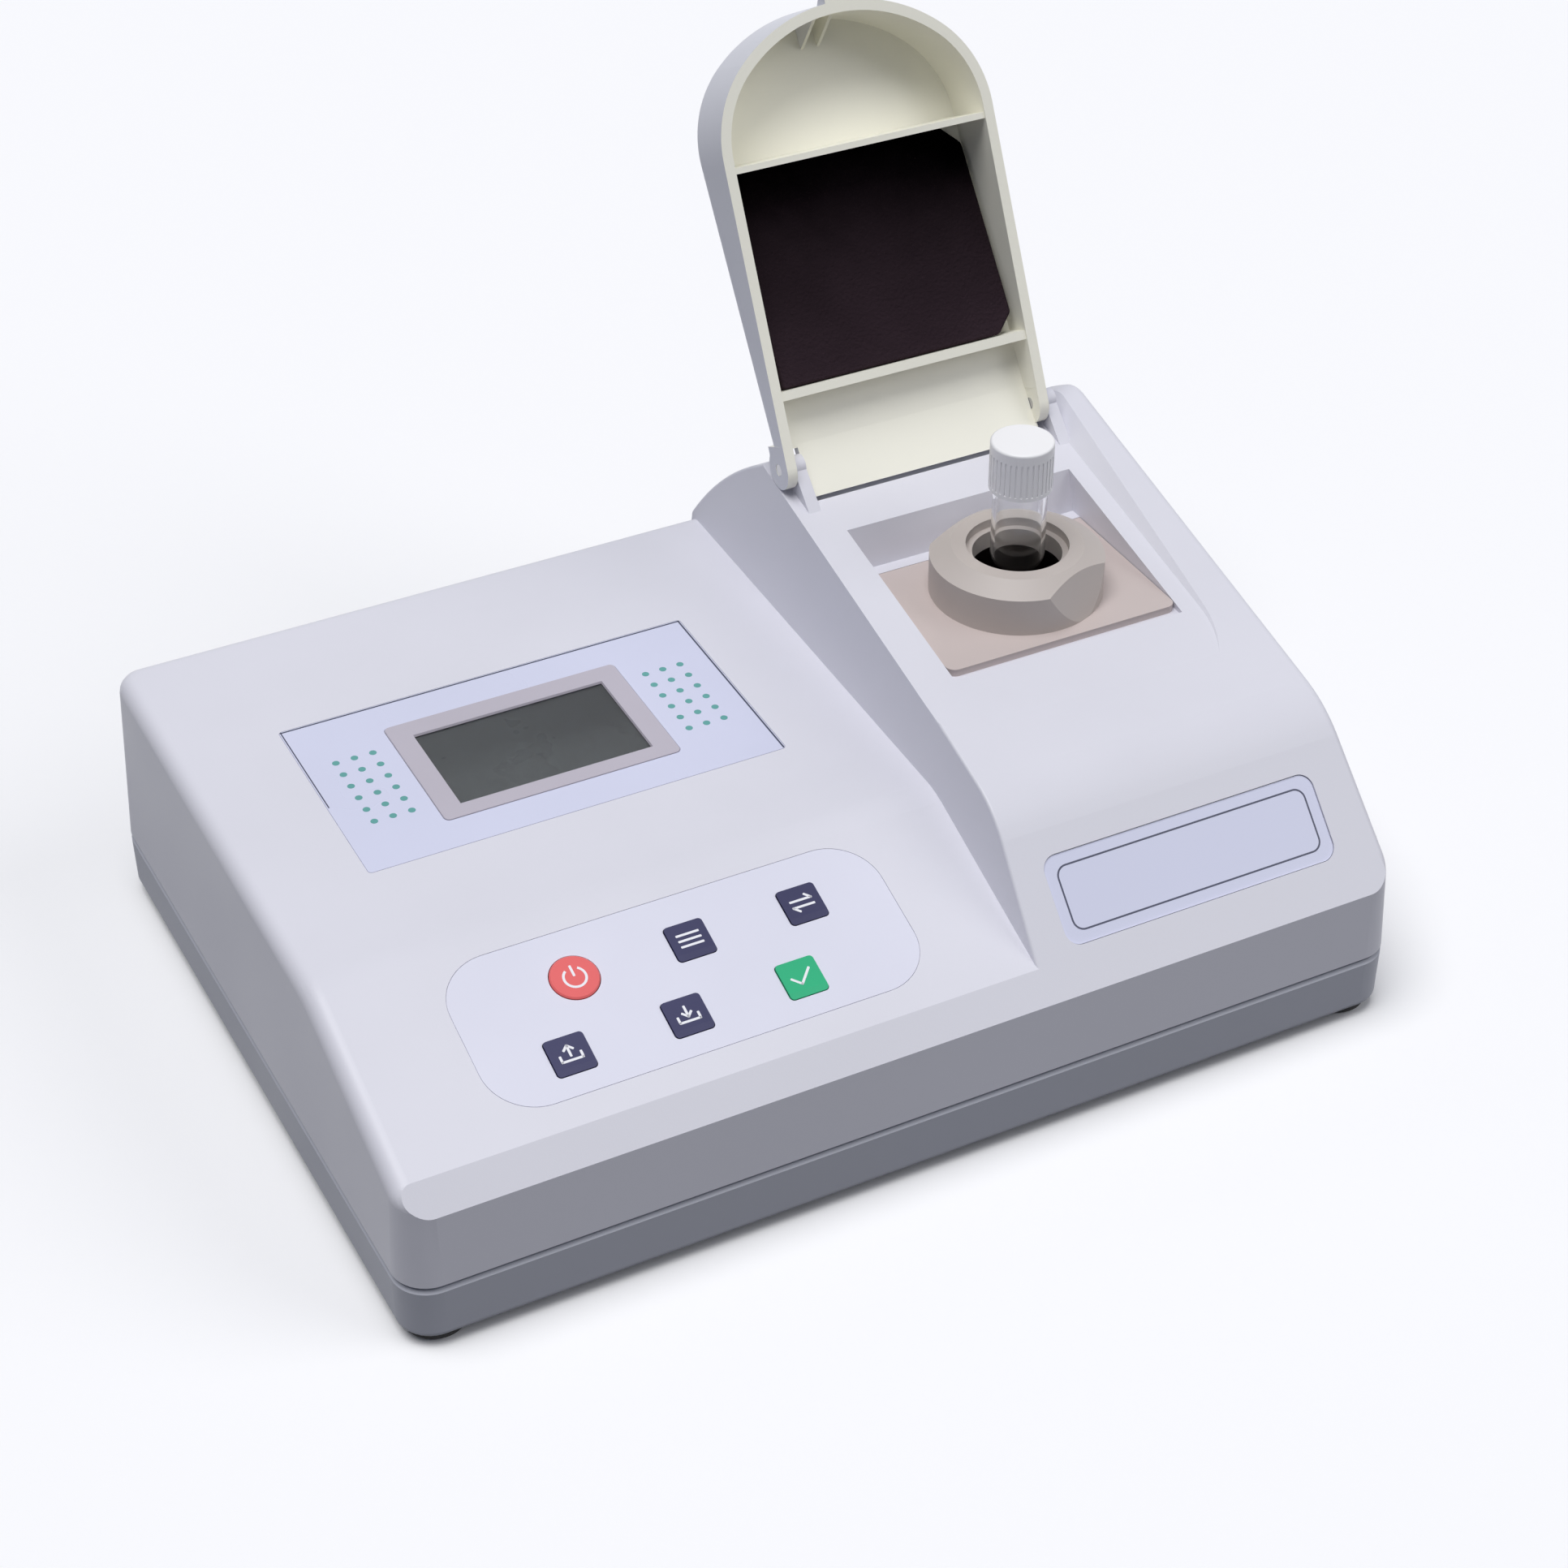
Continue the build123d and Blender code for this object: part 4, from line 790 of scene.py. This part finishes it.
class PHOTOMETER_OT_lid(bpy.types.Operator):
    """Dresses the lid's moulding and replaces its plain pad with soft foam"""
    bl_idname = "photometer.lid"
    bl_label = "Lid"

    def execute(self, context):
        look = settings("finish")
        dress(self.moulding(), self.two_tone(look), "lid")
        foam = self.foam_pad()
        material = plain_material("foam_black", look.foam, 0.95, grain=1100.0, drift=40.0, shift=0.5,
                                  bump=1.2, deep=0.3 * MM, mark=0.2, Specular_IOR_Level=0.0)
        low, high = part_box("lid_pad")
        # Painted shade at the pad's top fades to painted sheen towards its bottom.
        faded(material, look.foam_painted_sheen, (0, 0, -1), -high[2], -low[2], ragged=0.7, grain=30)
        dress(foam, material, "lid")
        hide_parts("lid_pad")
        return {"FINISHED"}

    def moulding(self):
        """The lid's moulding, with the ends of the tab's two ribs dressed flush with its skin.

        Merging its points spoils its shading, so it is given the node's own. The dressed ends are
        then shaded afresh.
        """
        shell = copy_of("lid_shell", "lid_moulding")
        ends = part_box("lid_shell")[1][1] - RIB_END
        for part in (*shell.data.polygons, *shell.data.edges):
            part.select = False
        for vertex in shell.data.vertices:
            vertex.select = vertex.co.y > ends
        bpy.ops.object.mode_set(mode="EDIT")
        bpy.ops.transform.translate(value=(0, -RIB_PROUD, 0))
        bpy.ops.object.mode_set(mode="OBJECT")
        bpy.ops.object.shade_smooth()
        shading = shell.modifiers.new("shading", "DATA_TRANSFER")
        shading.object = frame["nodes"]["lid_shell"]
        shading.use_loop_data = True
        shading.data_types_loops = {"CUSTOM_NORMAL"}
        shading.loop_mapping = "TOPOLOGY"
        bpy.ops.object.modifier_apply(modifier=shading.name)
        bpy.ops.object.mode_set(mode="EDIT")
        bpy.ops.mesh.select_more()
        bpy.ops.mesh.normals_tools(mode="RESET")
        bpy.ops.object.mode_set(mode="OBJECT")
        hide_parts("lid_shell")
        return shell

    def two_tone(self, look):
        """Cream inside and pale grey outside, told apart by which way the surface faces."""
        material = plain_material("lid_plastic", look.cream, 0.42, shift=0.03, mark=0.03)
        mask = node(material.node_tree, "ShaderNodeGroup", node_tree=outside_group())
        return tint_by(material, mask.outputs["Outside"], look.lid_skin)

    def foam_pad(self):
        """The pad's own outline with soft cut edges."""
        pad = copy_of("lid_pad", "lid_foam")
        edit_all()
        bpy.ops.mesh.dissolve_limited(angle_limit=math.radians(2))
        bpy.ops.mesh.select_all(action="SELECT")
        bpy.ops.mesh.bevel(offset=FOAM_EDGE, segments=4, affect="EDGES")
        bpy.ops.object.mode_set(mode="OBJECT")
        bpy.ops.object.shade_smooth_by_angle(angle=math.radians(40))
        return pad


class PHOTOMETER_OT_inside(bpy.types.Operator):
    """Finishes the boards and the parts inside the case"""
    bl_idname = "photometer.inside"
    bl_label = "Inside"

    def execute(self, context):
        board = plain_material("board_green", (0.012, 0.09, 0.03), 0.35, shift=0.2)
        parts = plain_material("parts_black", (0.02, 0.02, 0.022), 0.4, shift=0.3)
        for name in ("main_board", "keypad_board", "lamp_board", "detector_board"):
            finish_node(name, board)
        for name in ("board_parts", "buzzer"):
            finish_node(name, parts)
        finish_node("dome_switches", plain_material("dome_steel", (0.55, 0.55, 0.56), 0.25, Metallic=1.0))
        finish_node("standoffs", plain_material("standoff_brass", (0.6, 0.42, 0.14), 0.3, Metallic=1.0))
        finish_node("board_screws", bpy.data.materials["screw_steel"])
        finish_node("ribbon_cable", plain_material("ribbon_grey", (0.35, 0.36, 0.38), 0.5))
        return {"FINISHED"}


class PHOTOMETER_OT_studio(bpy.types.Operator):
    """Makes the floor, the lights and the camera"""
    bl_idname = "photometer.studio"
    bl_label = "Studio"

    def execute(self, context):
        look = settings("studio")
        self.floor(look)
        self.sky(look)
        self.light(look, "overhead", look.sun_level, (0, 0, 1.5), (look.sun_forward, -look.sun_aside, 0))
        self.light(look, "fill", look.fill_level, (1.0, -0.5, 0.8),
                   (QUARTER - look.fill_height, 0, QUARTER - look.fill_turn))
        self.camera(look)
        context.scene.view_settings.view_transform = "Standard"
        return {"FINISHED"}

    def seen_rays(self, tree):
        """1 for what the camera sees straight, in a reflection or through glass."""
        path = node(tree, "ShaderNodeLightPath").outputs
        straight = maths(tree, "MAXIMUM", path["Is Camera Ray"], path["Is Glossy Ray"])
        return maths(tree, "MAXIMUM", straight, path["Is Transmission Ray"])

    def floor(self, look):
        clear_selection()
        bpy.ops.mesh.primitive_plane_add(size=2 * look.floor_reach, location=(0, 0, 0))
        floor = bpy.context.object
        floor.name = "floor"
        material, tree = new_material("floor_paper")
        tone = mixed(tree, self.seen_rays(tree), look.floor_given, look.floor_seen)
        fit(tree, tree.nodes["Principled BSDF"], Base_Color=tone, Roughness=0.9, Specular_IOR_Level=0.0)
        floor.data.materials.append(material)

    def sky(self, look):
        world = bpy.data.worlds.new("sky")
        bpy.context.scene.world = world
        world.use_nodes = True
        tree = world.node_tree
        tone = mixed(tree, self.seen_rays(tree), look.sky, look.backdrop_seen)
        fit(tree, tree.nodes["Background"], Color=tone)

    def light(self, look, name, level, place, turn):
        """A broad soft light."""
        clear_selection()
        bpy.ops.object.light_add(type="SUN", location=place)
        lamp = bpy.context.object
        lamp.name = name
        lamp.data.energy = level
        lamp.data.angle = look.sun_spread
        lamp.rotation_euler = turn

    def camera(self, look):
        clear_selection()
        bpy.ops.object.camera_add(location=look.camera_place)
        camera = bpy.context.object
        camera.name = "camera"
        camera.rotation_euler = (QUARTER - look.camera_tilt, 0, look.camera_turn)
        camera.data.sensor_width = SENSOR_WIDTH
        camera.data.lens = look.camera_lens
        bpy.context.scene.camera = camera


PIECES = (PHOTOMETER_OT_case, PHOTOMETER_OT_display, PHOTOMETER_OT_keypad, PHOTOMETER_OT_label,
          PHOTOMETER_OT_well, PHOTOMETER_OT_vial, PHOTOMETER_OT_lid, PHOTOMETER_OT_inside,
          PHOTOMETER_OT_studio)
GROUPS = {"studio": StudioSettings, "finish": FinishSettings, "print": PrintSettings}


class PHOTOMETER_PT_pieces(bpy.types.Panel):
    """Lists the steps that dress the photometer"""
    bl_idname = "PHOTOMETER_PT_pieces"
    bl_label = "Photometer"
    bl_space_type = "VIEW_3D"
    bl_region_type = "UI"
    bl_category = "Photometer"

    def draw(self, context):
        for name, group in GROUPS.items():
            box = self.layout.box()
            box.label(text=name.capitalize())
            for key in group.__annotations__:
                box.prop(settings(name), key)
        for piece in PIECES:
            self.layout.operator(piece.bl_idname)


def register():
    for group in GROUPS.values():
        bpy.utils.register_class(group)
    for name, group in GROUPS.items():
        setattr(bpy.types.Scene, "photometer_" + name, PointerProperty(type=group))
    for made in (*PIECES, PHOTOMETER_PT_pieces):
        bpy.utils.register_class(made)


def unregister():
    for made in reversed((*PIECES, PHOTOMETER_PT_pieces)):
        bpy.utils.unregister_class(made)
    for name in GROUPS:
        delattr(bpy.types.Scene, "photometer_" + name)
    for group in reversed(GROUPS.values()):
        bpy.utils.unregister_class(group)


def main():
    register()
    for piece in PIECES:
        group, name = piece.bl_idname.split(".")
        getattr(getattr(bpy.ops, group), name)()


if __name__ == "__main__":
    main()
